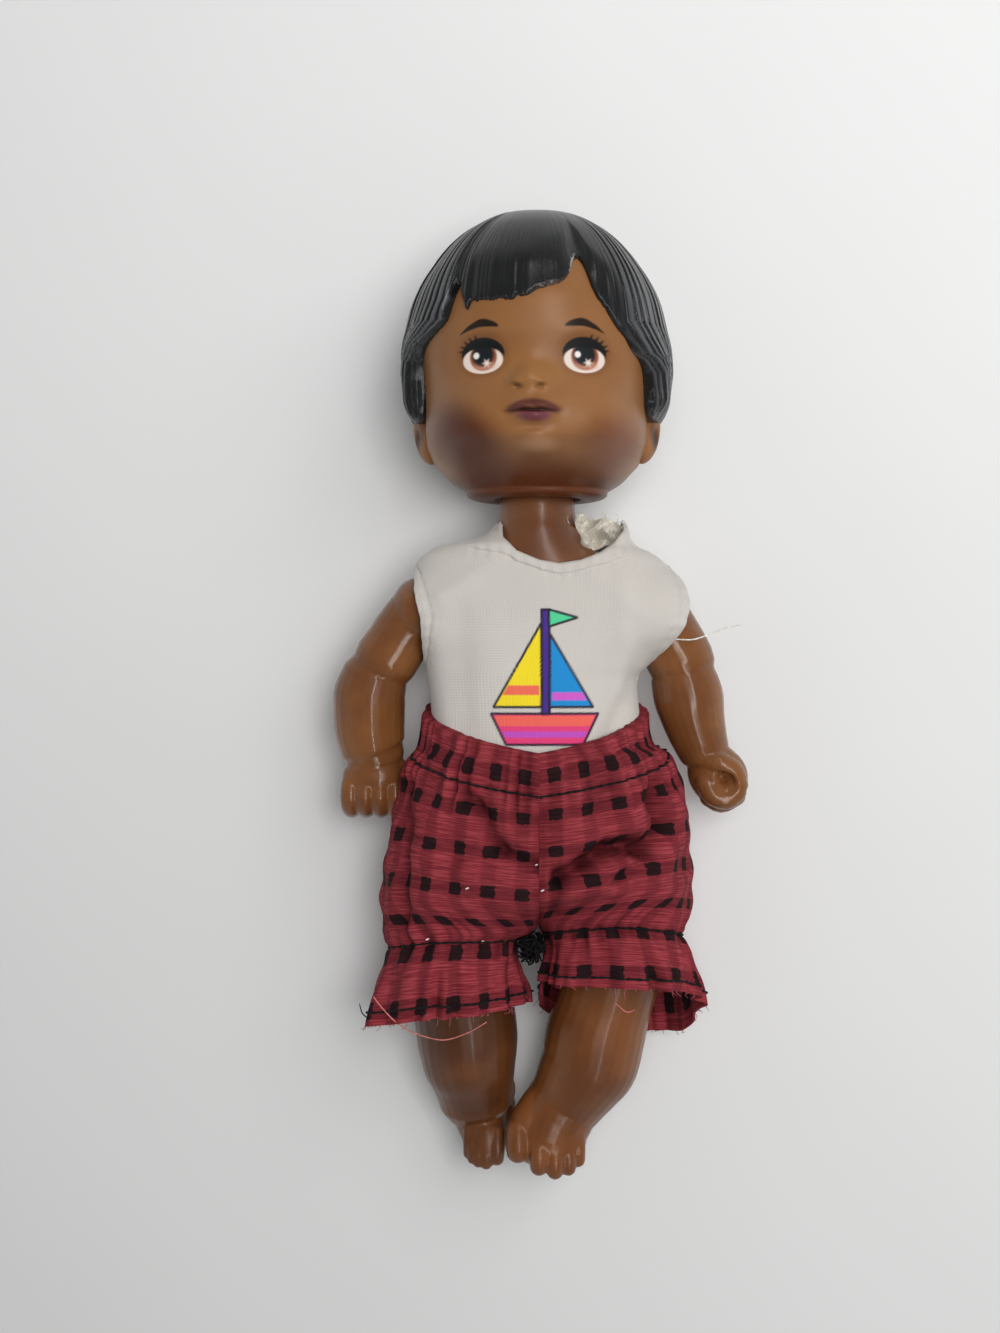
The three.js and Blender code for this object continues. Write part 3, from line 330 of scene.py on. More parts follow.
# Rows of height along the body, half width, half depth and squareness.
TORSO_ROWS = np.array([
    [-7.6, 0.4, 0.4, 2], [-7.4, 2.2, 1.4, 2], [-6, 3, 2.2, 2], [-3, 3.6, 3.6, 2.2], [1, 3.9, 6, 2.4],
    [6.2, 4, 8, 2.4], [6.8, 4.2, 8.1, 2.4], [7.1, 10, 8.1, 2.4], [9, 10.6, 8.2, 2.4], [16, 10.7, 8.1, 2.4],
    [22, 10.9, 7.7, 2.4], [28, 11.5, 6.9, 2.4], [31, 11.5, 6.5, 2.4], [33.5, 10.4, 6.1, 2.3],
    [35.5, 8.4, 5.6, 2.2], [37.2, 6.3, 5.25, 2.1], [38.6, 5.3, 5.05, 2], [40.4, 4.6, 4.6, 2],
    [42.8, 4.35, 4.35, 2], [43, 4.2, 4.2, 2], [43.1, 3.5, 3.5, 2], [44.6, 3.4, 3.4, 2],
    [44.8, 4.7, 4.7, 2], [46.4, 4.85, 4.85, 2], [47.1, 4.5, 4.5, 2], [47.2, 0.4, 0.4, 2],
])
TORSO_WALL = 1.2
PARTING_GAP = 0.03
HOLLOW_LEAST = 0.15
SHELL_ROWS = 190
SHELL_COLUMNS = 73


def torso_half(front, inset):
    """Half of a loft: each row is half a squared oval, x by the cosine and z by the sine of a half turn."""
    keys = reach_along(TORSO_ROWS[:, :3])
    y, wide, deep, square = follow(keys, TORSO_ROWS, np.linspace(0, keys[-1], SHELL_ROWS)).T
    across, up = squared(np.linspace(0, np.pi, SHELL_COLUMNS), square[:, None])
    x = np.maximum(wide - inset, HOLLOW_LEAST)[:, None] * across
    z = AXIS_Z + front * (PARTING_GAP + np.maximum(deep - inset, HOLLOW_LEAST)[:, None] * up)
    return np.stack([x, np.broadcast_to(y[:, None], x.shape), z], -1)


for name, front in {"torso_front_shell": 1, "torso_back_shell": -1}.items():
    shell = two_layers(torso_half(front, 0), torso_half(front, TORSO_WALL))
    stand_in(add_piece(name + "_skin", shell, skin), "torso", name)

# Arms
# One soft vinyl moulding each, glossy brown, with a round shoulder on a peg, a crease at the elbow and the
# wrist and a small fist. The doll's right fist shows four knuckles; its left one curls round a pinhole.

# Leans at which the rings of a limb's round ends stand off its last ring.
END_LEANS = np.radians([80, 60, 40, 20])


def sausage(rows, around=26, per_mm=2.0, upright=(0, 0, 1)):
    """Round limb through rows of x, y, z and radius: rings square to a smooth line, with round ends."""
    rows = np.asarray(rows, float)
    reach = reach_along(rows[:, :3])
    at = np.linspace(0, reach[-1], max(int(reach[-1] * per_mm), 3) + 1)
    line = follow(reach, rows, at)
    ahead = unit(np.gradient(line[:, :3], at, axis=0))
    far, near = np.sin(END_LEANS), np.cos(END_LEANS)
    start = line[0, :3] - ahead[0] * (line[0, 3] * far)[:, None]
    end = line[-1, :3] + ahead[-1] * (line[-1, 3] * far[::-1])[:, None]
    centre = np.vstack([start, line[:, :3], end])[:, None]
    radius = np.r_[line[0, 3] * near, line[:, 3], line[-1, 3] * near[::-1]][:, None, None]
    ends = len(END_LEANS)
    ahead = np.vstack([np.repeat(ahead[:1], ends, 0), ahead, np.repeat(ahead[-1:], ends, 0)])
    side = unit(np.cross(ahead, upright))
    up = np.cross(side, ahead)
    turn = np.linspace(0, 2 * np.pi, around, endpoint=False)[:, None]
    return closed_loft(centre + radius * (np.cos(turn) * side[:, None] + np.sin(turn) * up[:, None]))


LAST_RING_DEG = 86


def pebble(centre, radii, turn_deg=0.0, tilt_deg=0.0, rows=20, around=32):
    """Ellipsoid on a grid of latitude and longitude, tilted about x and then turned about z."""
    lat = np.radians(np.linspace(-LAST_RING_DEG, LAST_RING_DEG, rows))[:, None]
    lon = np.linspace(0, 2 * np.pi, around, endpoint=False)
    flat = np.ones_like(lon)
    ball = np.stack([np.cos(lat) * np.cos(lon), np.sin(lat) * flat, -np.cos(lat) * np.sin(lon)], -1) * radii
    (s, c), (st, ct) = [(np.sin(a), np.cos(a)) for a in np.radians([turn_deg, tilt_deg])]
    tilt = np.array([[1, 0, 0], [0, ct, -st], [0, st, ct]])
    turn = np.array([[c, -s, 0], [s, c, 0], [0, 0, 1]])
    return closed_loft(ball @ (turn @ tilt).T + centre)


EVEN_PASSES = 3


def moulded(name, bodies, voxel_mm, dents=()):
    """One skin over closed bodies that overlap: the voxel remesh of their union, evened by smoothing and
    pressed in at each dent, given as a place, a reach and a depth."""
    rough = bpy.data.objects.new(name + "_rough", raw_mesh(name, joined(bodies)))
    bpy.context.collection.objects.link(rough)
    remesh = rough.modifiers.new("skin", "REMESH")
    remesh.mode = "VOXEL"
    remesh.voxel_size = voxel_mm * MM
    even = rough.modifiers.new("even", "SMOOTH")
    even.factor = 0.5
    even.iterations = EVEN_PASSES
    graph = bpy.context.evaluated_depsgraph_get()
    made = bpy.data.meshes.new_from_object(rough.evaluated_get(graph))
    bpy.data.objects.remove(rough)
    made.name = name
    place = np.empty(len(made.vertices) * 3)
    normal = np.empty(len(made.vertices) * 3, np.float32)
    made.vertices.foreach_get("co", place)
    made.vertex_normals.foreach_get("vector", normal)
    place, normal = place.reshape(-1, 3), normal.reshape(-1, 3)
    for centre, reach, depth in dents:
        away = np.linalg.norm(place - to_frame(centre), axis=1) / MM
        place = place - normal * (hill(away, reach) * depth * MM)[:, None]
    made.vertices.foreach_set("co", place.ravel())
    return bpy.data.objects.new(name, made)


arm_vinyl = skin_finish("arm_vinyl", "6f4426", "86562f", 0.15, 0.23)
ARM_VOXEL = 0.16
RIGHT_ARM = [
    pebble((-14, SHOULDER_Y, AXIS_Z), (3.4, 4.1, 4.3)),
    sausage([(-14.3, 28.9, 12, 3.6), (-15.9, 26.8, 11.7, 3.65), (-17, 25, 11.4, 3.75),
             (-17.9, 23.7, 11.2, 3.85)]),
    sausage([(-19.6, 20.8, 10.6, 4.1), (-20, 19.2, 10.3, 4.3), (-20.05, 16.4, 9.6, 4.25),
             (-19.7, 13.2, 9.1, 3.9), (-19.5, 12.6, 9, 3.6)]),
    pebble((-19.3, 8.8, 8.7), (4, 3.4, 3.3)),
    pebble((-19.4, 9.7, 9.7), (3.9, 2.3, 2.7)),
    sausage([(-16.3, 10.4, 9.2, 1.25), (-15.9, 8.7, 9.6, 1.2), (-16.3, 7, 9.4, 1.05)]),
]
# Fingers of the right fist, from the outer one: place across and how much lower the knuckle lies.
for x, drop in ((-22.25, 0.35), (-20.5, 0), (-18.75, 0), (-17, 0.3)):
    knuckles = [(x, 8.8, 10.8 - drop, 1.1), (x, 7.5, 11.25 - drop, 1.18), (x, 6.2, 10.5 - drop, 1.15)]
    RIGHT_ARM.append(sausage([*knuckles, (x, 5.7, 8.8, 1.1)]))
LEFT_ARM = [
    pebble((14.2, SHOULDER_Y, AXIS_Z), (3.4, 4.1, 4.3)),
    sausage([(14.3, 28.4, 12, 3.9), (15.7, 26, 11.7, 3.95), (16.6, 24.4, 11.5, 4), (17.1, 23.4, 11.45, 4)]),
    sausage([(17.6, 20.7, 11.25, 4.05), (18, 19.3, 11.1, 4.15), (18.7, 16.4, 10.7, 3.75),
             (19.5, 13.9, 10.4, 3.3), (19.7, 13.4, 10.3, 3.2)]),
    pebble((21.5, 9.9, 10), (3.4, 4, 3.2), turn_deg=28),
    pebble((21.9, 9.8, 10.6), (3.2, 3.5, 2.7), turn_deg=28),
    sausage([(19.7, 11.8, 11.7, 1.3), (21.5, 11.4, 12.5, 1.3), (23.2, 10.4, 12.4, 1.25),
             (23.9, 8.8, 11.9, 1.15)]),
    sausage([(20, 9.2, 11.7, 1.3), (20.9, 7.5, 12, 1.25), (22.4, 7, 12, 1.2), (23.7, 7.9, 11.9, 1.15)]),
    sausage([(20.6, 7.2, 10.4, 1.2), (22, 6.5, 10.3, 1.2), (23.8, 7.3, 10.2, 1.15)]),
]
PINHOLE = [((22.3, 9.2, 13), 0.75, 1.9), ((21.6, 9.9, 13), 0.5, 0.7)]
for name, bodies, dents in (("right_arm", RIGHT_ARM, []), ("left_arm", LEFT_ARM, PINHOLE)):
    stand_in(dress(moulded(name + "_skin", bodies, ARM_VOXEL, dents), arm_vinyl), name, name)

# Legs
# One soft vinyl moulding each, bowed at the knee, with an ankle crease and five toes. A peg at the hip holds
# the leg to the torso, and the shorts cover it down to the knee.

LEG_VOXEL = 0.18
left_leg_vinyl = skin_finish("left_leg_vinyl", "63381b", "7d4a24", 0.26, 0.36)
# The doll's right leg has a darker copy of the same vinyl: painted shade, as it lies lower and partly under
# the left foot.
right_leg_shaded_vinyl = skin_finish("right_leg_shaded_vinyl", "512e18", "693e20", 0.26, 0.36)
LEFT_LEG = [
    sausage([(9.5, 0, 12, 6.5), (9.5, -6, 11.7, 6.1), (9.2, -12, 11.3, 5.9), (8, -17.5, 10.9, 5.65),
             (7, -21, 10.5, 5.95), (6.4, -24, 10, 5.9), (5.1, -26.6, 9.4, 5.35), (4.1, -28.4, 8.9, 4.85)]),
    pebble((6.5, 0, 12), (3, 6.4, 6.4)),
    sausage([(3.1, -29.7, 8.7, 4.55), (2.2, -31.6, 8.9, 4.5), (1.5, -33.2, 9.4, 4.3)]),
    pebble((1.8, -32.2, 7.2), (3.9, 3.4, 3.6)),
    pebble((1.3, -33.3, 10.3), (4.7, 3.8, 3), tilt_deg=-35),
    sausage([(0.8, -29.4, 9.3, 2.5), (-0.9, -31.8, 10.2, 2.45), (-1.7, -33.6, 11, 1.85)]),
]
RIGHT_LEG = [
    sausage([(-9.2, 0, 12, 6.5), (-9.5, -6, 11, 6.4), (-9.3, -12, 10, 6.2), (-8.9, -17, 9.1, 6.05),
             (-8.4, -21, 8.5, 6.1), (-8.1, -24.5, 7.7, 5.75), (-7.7, -27, 6.9, 5.1),
             (-7.5, -28.8, 6.4, 4.6)]),
    pebble((-6.5, 0, 12), (3, 6.4, 6.4)),
    sausage([(-6.9, -30.6, 6.3, 3.35), (-6.75, -32.2, 6.5, 3.1), (-6.4, -33.8, 6.9, 2.7)]),
    pebble((-6.9, -31.8, 5), (3, 3.2, 3.4)),
    pebble((-4.9, -31.3, 4), (2.4, 3.6, 1.6)),
    pebble((-5.1, -28.9, 4.6), (2.6, 3, 1.8)),
    pebble((-6.1, -33.8, 7.8), (2.5, 3.6, 2.4), turn_deg=10, tilt_deg=-35),
]
# Toes from the big one outwards: place across, tip along the leg, height and radius.
LEFT_TOES = [
    (-2.3, -36, 12.2, 1.42), (0.2, -37.3, 13, 1.15), (2.1, -37.8, 12.8, 1.05), (3.7, -37.5, 12.3, 0.95),
    (4.9, -36.6, 11.8, 0.85),
]
RIGHT_TOES = [
    (-4.75, -36.9, 9.9, 0.92), (-6.05, -37.4, 9.9, 0.78), (-7, -37.2, 9.8, 0.7), (-7.75, -36.8, 9.6, 0.62),
    (-8.3, -36.2, 9.3, 0.55),
]
for name, bodies, toes, vinyl in (
    ("left_leg", LEFT_LEG, LEFT_TOES, left_leg_vinyl),
    ("right_leg", RIGHT_LEG, RIGHT_TOES, right_leg_shaded_vinyl),
):
    for x, tip, z, radius in toes:
        toe = [(x, tip + 3.8, z - 0.9, radius), (x, tip + 2, z, radius)]
        bodies.append(sausage([*toe, (x, tip + 0.9 * radius, z - 0.25, 0.95 * radius)]))
    stand_in(dress(moulded(name + "_skin", bodies, LEG_VOXEL), vinyl), name, name)

# Head
# A hollow soft-vinyl shell with the face in relief and a flat ring round the neck hole. Eyes, brows, lips and
# blush are sprayed and printed on; the ears stand out below the hair. It turns on the neck knob. Painted
# shade under the jaw, round the eyes, in the ears and nostrils and on the doll's right cheek, and painted
# highlights on the nose and chin, lie in the face's colour as well.

HEAD_Z = 16
HEAD_TURN = np.radians(-2.5)
REST_Z = 0.02
# Rows of height above the rim, half width, reach forward, reach back, and how far the middle lies forward.
HEAD_ROWS = np.array([
    [0.35, 4.9, 4.9, 4.9, -4], [-0.4, 5.2, 5.2, 5.2, -4], [-0.5, 6.6, 6.6, 6.6, -4],
    [-0.3, 7.7, 7.7, 7.7, -4], [0.1, 8.3, 8.3, 8.25, -4], [0.45, 8.35, 8.4, 8.3, -4],
    [0.75, 8.75, 9, 8.4, -3.9], [1.4, 9.85, 10.5, 8.9, -3.6], [2.6, 11.1, 12.4, 9.8, -3.1],
    [3.9, 12.2, 13.9, 11, -2.4], [5.5, 12.75, 14.8, 12.2, -1.4], [7, 12.85, 14.5, 13.3, -0.7],
    [9.5, 12.8, 13.9, 14.4, -0.1], [12, 13, 13.2, 14.8, 0], [14, 13.3, 13, 14.9, 0],
    [17, 13.6, 13.4, 14.8, 0], [20, 13.1, 13.4, 14.3, 0], [23.5, 11.9, 12.4, 13.1, 0],
    [27, 9.6, 10.1, 10.6, 0], [29.4, 6.9, 7.4, 7.6, 0], [30.8, 4, 4.3, 4.4, 0],
    [31.4, 0.02, 0.02, 0.02, 0],
])
HEAD_KEYS = reach_along(HEAD_ROWS[:, :2])
JAW_KEY = HEAD_KEYS[7]
FACE_FULLNESS = 2.2
# Bumps of the face: x, height, rise, reach across, reach along; the mirrored ones come as pairs.
NOSE_X = -0.45
FACE_BUMPS = [
    (NOSE_X, 11.7, 1.3, 1.8, 1.4), (NOSE_X - 1.5, 11, 0.5, 0.8, 0.65), (NOSE_X + 1.5, 11, 0.5, 0.8, 0.65),
    (NOSE_X - 1.25, 10.5, -0.4, 0.5, 0.3), (NOSE_X + 1.25, 10.5, -0.4, 0.5, 0.3),
    (NOSE_X, 13.6, 0.12, 1.4, 2), (0, 8, 1.1, 3.2, 1.9), (0, 9.4, -0.15, 0.6, 0.6),
    (0.2, 7.2, 0.55, 1.6, 0.55), (0, 7.85, -0.5, 2, 0.24), (0, 6.1, -0.5, 1.8, 0.6), (0, 4.8, 1.1, 3, 1.5),
    (0, 19, 0.5, 8, 4),
]
FACE_PAIRS = [
    (1.2, 8.35, 0.4, 1.1, 0.45), (2.7, 7.6, -0.25, 1, 0.8), (8, 6.6, 0.9, 3.4, 3.2),
    (5.3, 13.9, -0.5, 3, 2.2), (5.3, 13.8, 0.25, 1.9, 1.4), (5.4, 16.8, 0.25, 2.8, 0.9),
]
FACE_BUMPS += [(side * x, *rest) for x, *rest in FACE_PAIRS for side in (-1, 1)]
# Middle of the head above the rim, and the radii of an egg that gives the way out from it.
HEAD_MIDDLE_Y = 13
HEAD_RADII = np.array([13.5, 18.5, 14.5])


def head_point(key, turn, out=0.0):
    """Place on the head for a key along its rows and a turn from the middle of the face: an oval squared off
    in front, with the face's bumps added forward, then pushed out from the middle."""
    y, wide, forward, backward, middle = np.moveaxis(follow(HEAD_KEYS, HEAD_ROWS, key), -1, 0)
    bend = np.where(np.cos(turn) > 0, 2 / FACE_FULLNESS, 1)
    reach = np.where(np.cos(turn) > 0, forward, backward)
    x = wide * power(np.sin(turn), bend)
    z = middle + reach * power(np.cos(turn), bend)
    relief = np.zeros(x.shape)
    for at_x, at_y, rise, broad, long in FACE_BUMPS:
        relief += rise * hill(x - at_x, broad) * hill(y - at_y, long)
    z = z + relief * ease(np.cos(turn) / 0.3) * ease((y - 1.9) / 0.8)
    outward = unit(np.stack([x, y - HEAD_MIDDLE_Y, z], -1) / HEAD_RADII**2)
    return np.stack([x, y, z], -1) + outward * np.asarray(out)[..., None]


def on_neck(local):
    """From the head's own place, above its rim and from its middle, to the body: turned on the neck and laid
    on the surface."""
    x, y, z = np.moveaxis(np.asarray(local, float), -1, 0)
    z = z + HEAD_Z - AXIS_Z
    c, s = np.cos(HEAD_TURN), np.sin(HEAD_TURN)
    return np.stack([x * c + z * s, y + NECK_RIM_Y, np.maximum(AXIS_Z - x * s + z * c, REST_Z)], -1)


def oval(x, y, cx, cy, rx, ry, turn_deg=0.0):
    """How far inside an oval a point lies, in millimetres: positive inside."""
    s, c = np.sin(np.radians(turn_deg)), np.cos(np.radians(turn_deg))
    u, v = (x - cx) * c + (y - cy) * s, (y - cy) * c - (x - cx) * s
    return (1 - np.hypot(u / rx, v / ry)) * min(rx, ry)


def covered(colour, inside, coat, soft, strength=1.0):
    """Paint over a colour where inside is positive, with an edge as wide as soft."""
    share = (ease(inside / (2 * soft) + 0.5) * strength)[..., None]
    return colour * (1 - share) + coat * share


# Coats of paint, one over the other: colour, middle across and up, half width, half height, turn in degrees,
# softness of the edge and strength. First blush on each cheek, that on the doll's right so dark that it is
# painted shade as well; then a painted highlight on the chin and one on the nose, with painted shade in the
# nostrils last.
FACE_COATS = [
    # Blush on the doll's right cheek, dark enough to be painted shade as well.
    ("4a1b10", -7.6, 5.1, 4.6, 2.9, -38, 1.7, 0.85),
    ("6b3324", 8.8, 4.6, 3, 2.6, 0, 1.8, 0.6),
    # Painted highlight on the chin.
    ("b98a68", 0.6, 4.4, 1.6, 0.6, 0, 0.5, 0.7),
    # Painted highlight on the nose.
    ("9c6b3a", NOSE_X, 12, 3.4, 1.9, 0, 1.2, 0.7),
    # Painted shade in the nostrils.
    ("4a2c1a", NOSE_X - 1.3, 10.65, 0.6, 0.2, -24, 0.18, 0.62),
    ("4a2c1a", NOSE_X + 1.3, 10.65, 0.6, 0.2, 24, 0.18, 0.38),
]
# Each eye: painted shade round it, white, iris with its paler lower part and its ring, pupil, a printed glint
# and a small star.
EYE_COATS = [
    # Painted shade round the eye.
    ("6c4022", 0, 0.2, 2.9, 2.4, 0, 0.6, 0.5),
    ("ecdcd0", 0, -0.36, 2.24, 1.48, 0, 0.07, 1),
    ("94553d", 0.05, 0, 1.52, 1.52, 0, 0.14, 1),
    ("c98f74", 0.2, -0.95, 1.1, 0.5, 0, 0.3, 0.8),
    ("40261f", 0, 0.2, 1.26, 1.26, 0, 0.16, 0.9),
    ("181e21", 0, 0.24, 1.08, 1.1, 0, 0.1, 1),
    ("f1efec", -0.74, 0.18, 0.32, 0.34, 0, 0.1, 1),
]
EYE_COATS += [("ecdacd", 0.42, -0.7, 0.42, 0.12, arm_deg, 0.08, 1) for arm_deg in (0, 60, 120)]
# Lips: the two lobes of the upper one, the lower one and the dark line between.
LIP_COATS = [
    ("552523", -1.3, 8.3, 1.75, 0.6, 17, 0.22, 0.85),
    ("552523", 1.3, 8.3, 1.75, 0.6, -17, 0.22, 0.85),
    ("6d3344", 0.15, 7.25, 1.85, 0.58, 0, 0.22, 0.9),
    ("220b10", 0, 7.85, 2.5, 0.18, 0, 0.12, 0.95),
]
FACE_Z = 1.5
EYE_X, EYE_Y = 5.6, 14.05
# Brow, from its inner end outwards: place across, height above the eye and half thickness.
BROW = np.array([[-2.1, 3.2, 0.12], [-1.6, 3.4, 0.3], [-0.3, 3.62, 0.46], [1.1, 3.2, 0.3], [2.2, 2.55, 0.05]])
# Lashes of the outer corner: place outwards, height above the eye and lean in degrees.
LASHES = [(2.4, 0.72, 2), (2.2, 1.15, 20), (1.85, 1.55, 38), (1.35, 1.86, 54), (0.75, 2.02, 70)]


def coated(colour, x, y, coats, share):
    """A colour under a list of oval coats, each as strong as its own strength times a share."""
    for code, middle_x, middle_y, wide, high, turn_deg, soft, strength in coats:
        inside = oval(x, y, middle_x, middle_y, wide, high, turn_deg)
        colour = covered(colour, inside, tint(code), soft, strength * share)
    return colour


def face_paint(local):
    """Colour of each point of the head, from its place before the face: skin, blush, eyes, brows and lips,
    with painted shade under the jaw, round the eyes, in the ears and nostrils, and painted highlights on the
    nose and chin.
    """
    x, y, z = np.moveaxis(local, -1, 0)
    front, behind = ease((z - FACE_Z) / 3), ease(FACE_Z - z)
    colour = np.broadcast_to(tint("916239"), local.shape)
    # Painted shade: the lower face and the underside of the jaw darker.
    colour = covered(colour, oval(x, y, 0, -6, 18, 9.2), tint("5c270a"), 1.7, 0.9)
    colour = coated(colour, x, y, FACE_COATS, front)
    for side in (-1, 1):
        # Painted shade in the hollow of each ear.
        colour = coated(colour, x, y, [("3f2112", side * 13.8, 6.5, 0.5, 1.6, side * 8, 0.3, 0.9)], behind)
        ex, ey = x - side * EYE_X, y - EYE_Y
        colour = coated(colour, ex, ey, EYE_COATS, front)
        lid = np.minimum(oval(ex, ey, 0, 0.3, 2.42, 1.74), -oval(ex, ey, 0, -0.36, 2.42, 1.36))
        colour = covered(colour, np.minimum(lid, ey + 0.2), tint("121314"), 0.07, front)
        lashes = [("151313", side * out, up, 0.34, 0.11, side * lean, 0.07, 0.95) for out, up, lean in LASHES]
        colour = coated(colour, ex, ey, lashes, front)
        out = ex * side - 0.35 * (side < 0)
        inner, outer = BROW[0, 0], BROW[-1, 0]
        middle, half = follow(BROW[:, 0], BROW[:, 1:], np.clip(out, inner, outer)).T
        brow = np.minimum(half - np.abs(ey - middle), np.minimum(out - inner, outer - out))
        colour = covered(colour, brow, tint("140d09"), 0.1, 0.97 * front)
    return coated(colour, x, y, LIP_COATS, front)


def own_paint(tree):
    """Colour painted on the piece's points."""
    return put(tree, "ShaderNodeAttribute", attribute_name="paint").outputs["Color"]


def face_finish():
    """Soft vinyl coloured by the paint on its points, with a faint mottle and a satin gloss."""
    material, tree, shader = new_finish("head_vinyl", IOR=1.45)
    mottled = vectors(tree, "MULTIPLY", own_paint(tree), ranged(tree, cloudy(tree, 4), 0.86, 1.12))
    coloured(tree, shader, mottled, ranged(tree, cloudy(tree, 3, 4), 0.33, 0.43))
    raised(tree, shader, cloudy(tree, 0.7, 4, 0.6), 0.03, 0.3)
    return material


def spaced(*stretches):
    """Values from one stretch to the next, each given as an end and a step, starting at the first number."""
    values, at = [np.array([stretches[0]])], stretches[0]
    for end, step in stretches[1:]:
        values.append(np.linspace(at, end, max(int(round(abs(end - at) / step)), 1) + 1)[1:])
        at = end
    return np.concatenate(values)


KEY_STEPS = 4000
fine_keys = np.linspace(0, HEAD_KEYS[-1], KEY_STEPS)
key_heights = follow(HEAD_KEYS, HEAD_ROWS[:, 0], fine_keys)
above_jaw = fine_keys >= JAW_KEY


def key_at(height):
    """Key along the head's rows for a height above the jaw."""
    return np.interp(height, key_heights[above_jaw], fine_keys[above_jaw])


head_rows = np.r_[spaced(0, (JAW_KEY, 0.16)), key_at(spaced(1.5, (6.4, 0.16), (18.4, 0.085), (31.35, 0.4)))]
half_turn = np.radians(spaced(0, (40, 0.5), (90, 1.2), (180, 3)))
head_turns = np.r_[half_turn, -half_turn[-2:0:-1]]
head_local = head_point(*np.broadcast_arrays(head_rows[:, None], head_turns[None]))
# A round pocket above the neck hole takes the knob: height and radius.
POCKET = [(5.3, 0.4), (5.3, 4.6), (5.1, 5.1), (0.6, 5.1)]
ring = np.stack([np.sin(head_turns), 0 * head_turns, np.cos(head_turns)], -1)
pocket = [radius * ring + [0, y, AXIS_Z - HEAD_Z] for y, radius in POCKET]
# Ears: a flat pebble at each side, with a hollow pressed into its front.
EAR_RADII = (1.5, 3.1, 2.1)
EAR_X, EAR_Y, EAR_Z = 12.9, 6.6, -1.4
ears = []
for side in (-1, 1):
    lobe, lobe_faces = pebble((0, 0, 0), EAR_RADII, turn_deg=-side * 14, rows=40, around=48)
    hollow = hill(lobe[:, 1] - 0.3, 1.5) * hill(lobe[:, 2] - 1.1, 1.0) * ease(0.5 + lobe[:, 0] * side)
    lobe = lobe - np.outer(hollow, [side * 0.55, 0, 0.6])
    ears.append((lobe + [side * EAR_X, EAR_Y, EAR_Z], lobe_faces))
local, faces = joined([closed_loft(np.concatenate([pocket, head_local])), *ears])
head_body = (on_neck(local), faces)
head = add_piece("head_skin", head_body, face_finish(), paint=face_paint(local))
stand_in(head, "head", "head")

# Hair
# Part of the head's moulding, about a millimetre proud and painted glossy black: a straight bowl cut that
# sweeps down from the crown, smooth on top and grooved in strands at the sides, with a parted fringe.

# Lower edge: turn from the middle of the face in degrees, to the doll's left, and height above the rim.
HAIR_EDGE = np.array([
    [-180, 4], [-120, 6.5], [-95, 8], [-84, 8.4], [-80.5, 10.2], [-77, 12.4], [-72, 14.6], [-62, 16.2],
    [-52, 17.2], [-46.5, 17.8], [-43.5, 18.4], [-41.5, 20], [-40, 21.3], [-38.6, 22.2], [-36, 21.8],
    [-33.4, 20.4], [-31, 19], [-29, 19.9], [-26.5, 20.2], [-19.6, 20.3], [-10.7, 20.2], [-3.7, 20.4],
    [0.6, 21], [5.6, 21.5], [12.1, 22], [16.4, 23], [19.1, 24.2], [23, 25], [25.2, 24.6], [26.7, 23.2],
    [28.2, 21.6], [31.1, 20.2], [35.1, 19], [39.2, 17.7], [45.9, 16.3], [53.3, 14.9], [58.6, 14.4],
    [66, 13.1], [72, 11], [76, 9.2], [82, 8.5], [95, 8], [120, 6.5], [180, 4],
])
# How much further the hair stands out at the sides, by height.
HAIR_FLARE = np.array([
    [7, 0.2], [8.9, 0.75], [10.8, 1.35], [13.2, 1.3], [15.7, 0.9], [18.1, 0.45], [20.5, 0.4], [25, 0],
])
HAIR_THICK = 1.25
FRINGE_THICK = 0.45
# How far up the sides and the fringe round off, and where the fringe has grown to the full thickness.
SIDE_ROUND, FRINGE_ROUND, FRINGE_GROWN = 1.5, 0.5, 6
# How deep the edge and the inner face lie under the head's skin.
EDGE_SINK, INNER_SINK = 0.06, 0.35
# Turns in degrees where the edge beside the face leaves the fringe and where the strands behind it meet.
EDGE_START = 40
STRANDS_MEET = 125
# The edge beside the face, on the doll's right and left: heights and turns.
RIGHT_EDGE = ([8.4, 10.2, 12.4, 14.6, 16.2, 17.2, 18.4, 20.5], [84, 80.5, 77, 72, 62, 52, 43.5, EDGE_START])
LEFT_EDGE = ([8.5, 9.2, 11, 13.1, 14.4, 14.9, 16.3, 18], [82, 76, 72, 66, 58.6, 53.3, 45.9, EDGE_START])
STRANDS = 150
# Turn in degrees over which the strands in the thickness of the edge would leave the crown.
EDGE_STRANDS_DEG = 10
columns_deg = spaced(-180, (-120, 0.8), (-36, 0.32), (36, 0.5), (120, 0.32), (180, 0.8))[:-1]
strand_deg = np.sort(np.linspace(-180, 180, STRANDS, endpoint=False) + rng.uniform(-0.9, 0.9, STRANDS))
strand_rise = rng.uniform(-0.5, 1, STRANDS)
strand_end = rng.uniform(-0.3, 0.3, STRANDS) * (0.4 + 0.6 * ease((np.abs(strand_deg) - 34) / 14))
# The strands at the sides are twice as broad.
broad = np.flatnonzero((np.abs(strand_deg) > EDGE_START) & (np.abs(strand_deg) < STRANDS_MEET))
strand_deg = np.delete(strand_deg, broad[::2])


def swept(turn, y):
    """Turn at which a strand leaves the crown, for a place lower down: at the sides the strands draw together
    behind the edge beside the face and run in line with it."""
    beside = np.abs(turn)
    edge = np.where(turn < 0, np.interp(y, *RIGHT_EDGE), np.interp(y, *LEFT_EDGE))
    start = STRANDS_MEET - (STRANDS_MEET - beside) * (STRANDS_MEET - EDGE_START) / (STRANDS_MEET - edge)
    return np.where(beside < STRANDS_MEET, np.sign(turn) * start, turn)


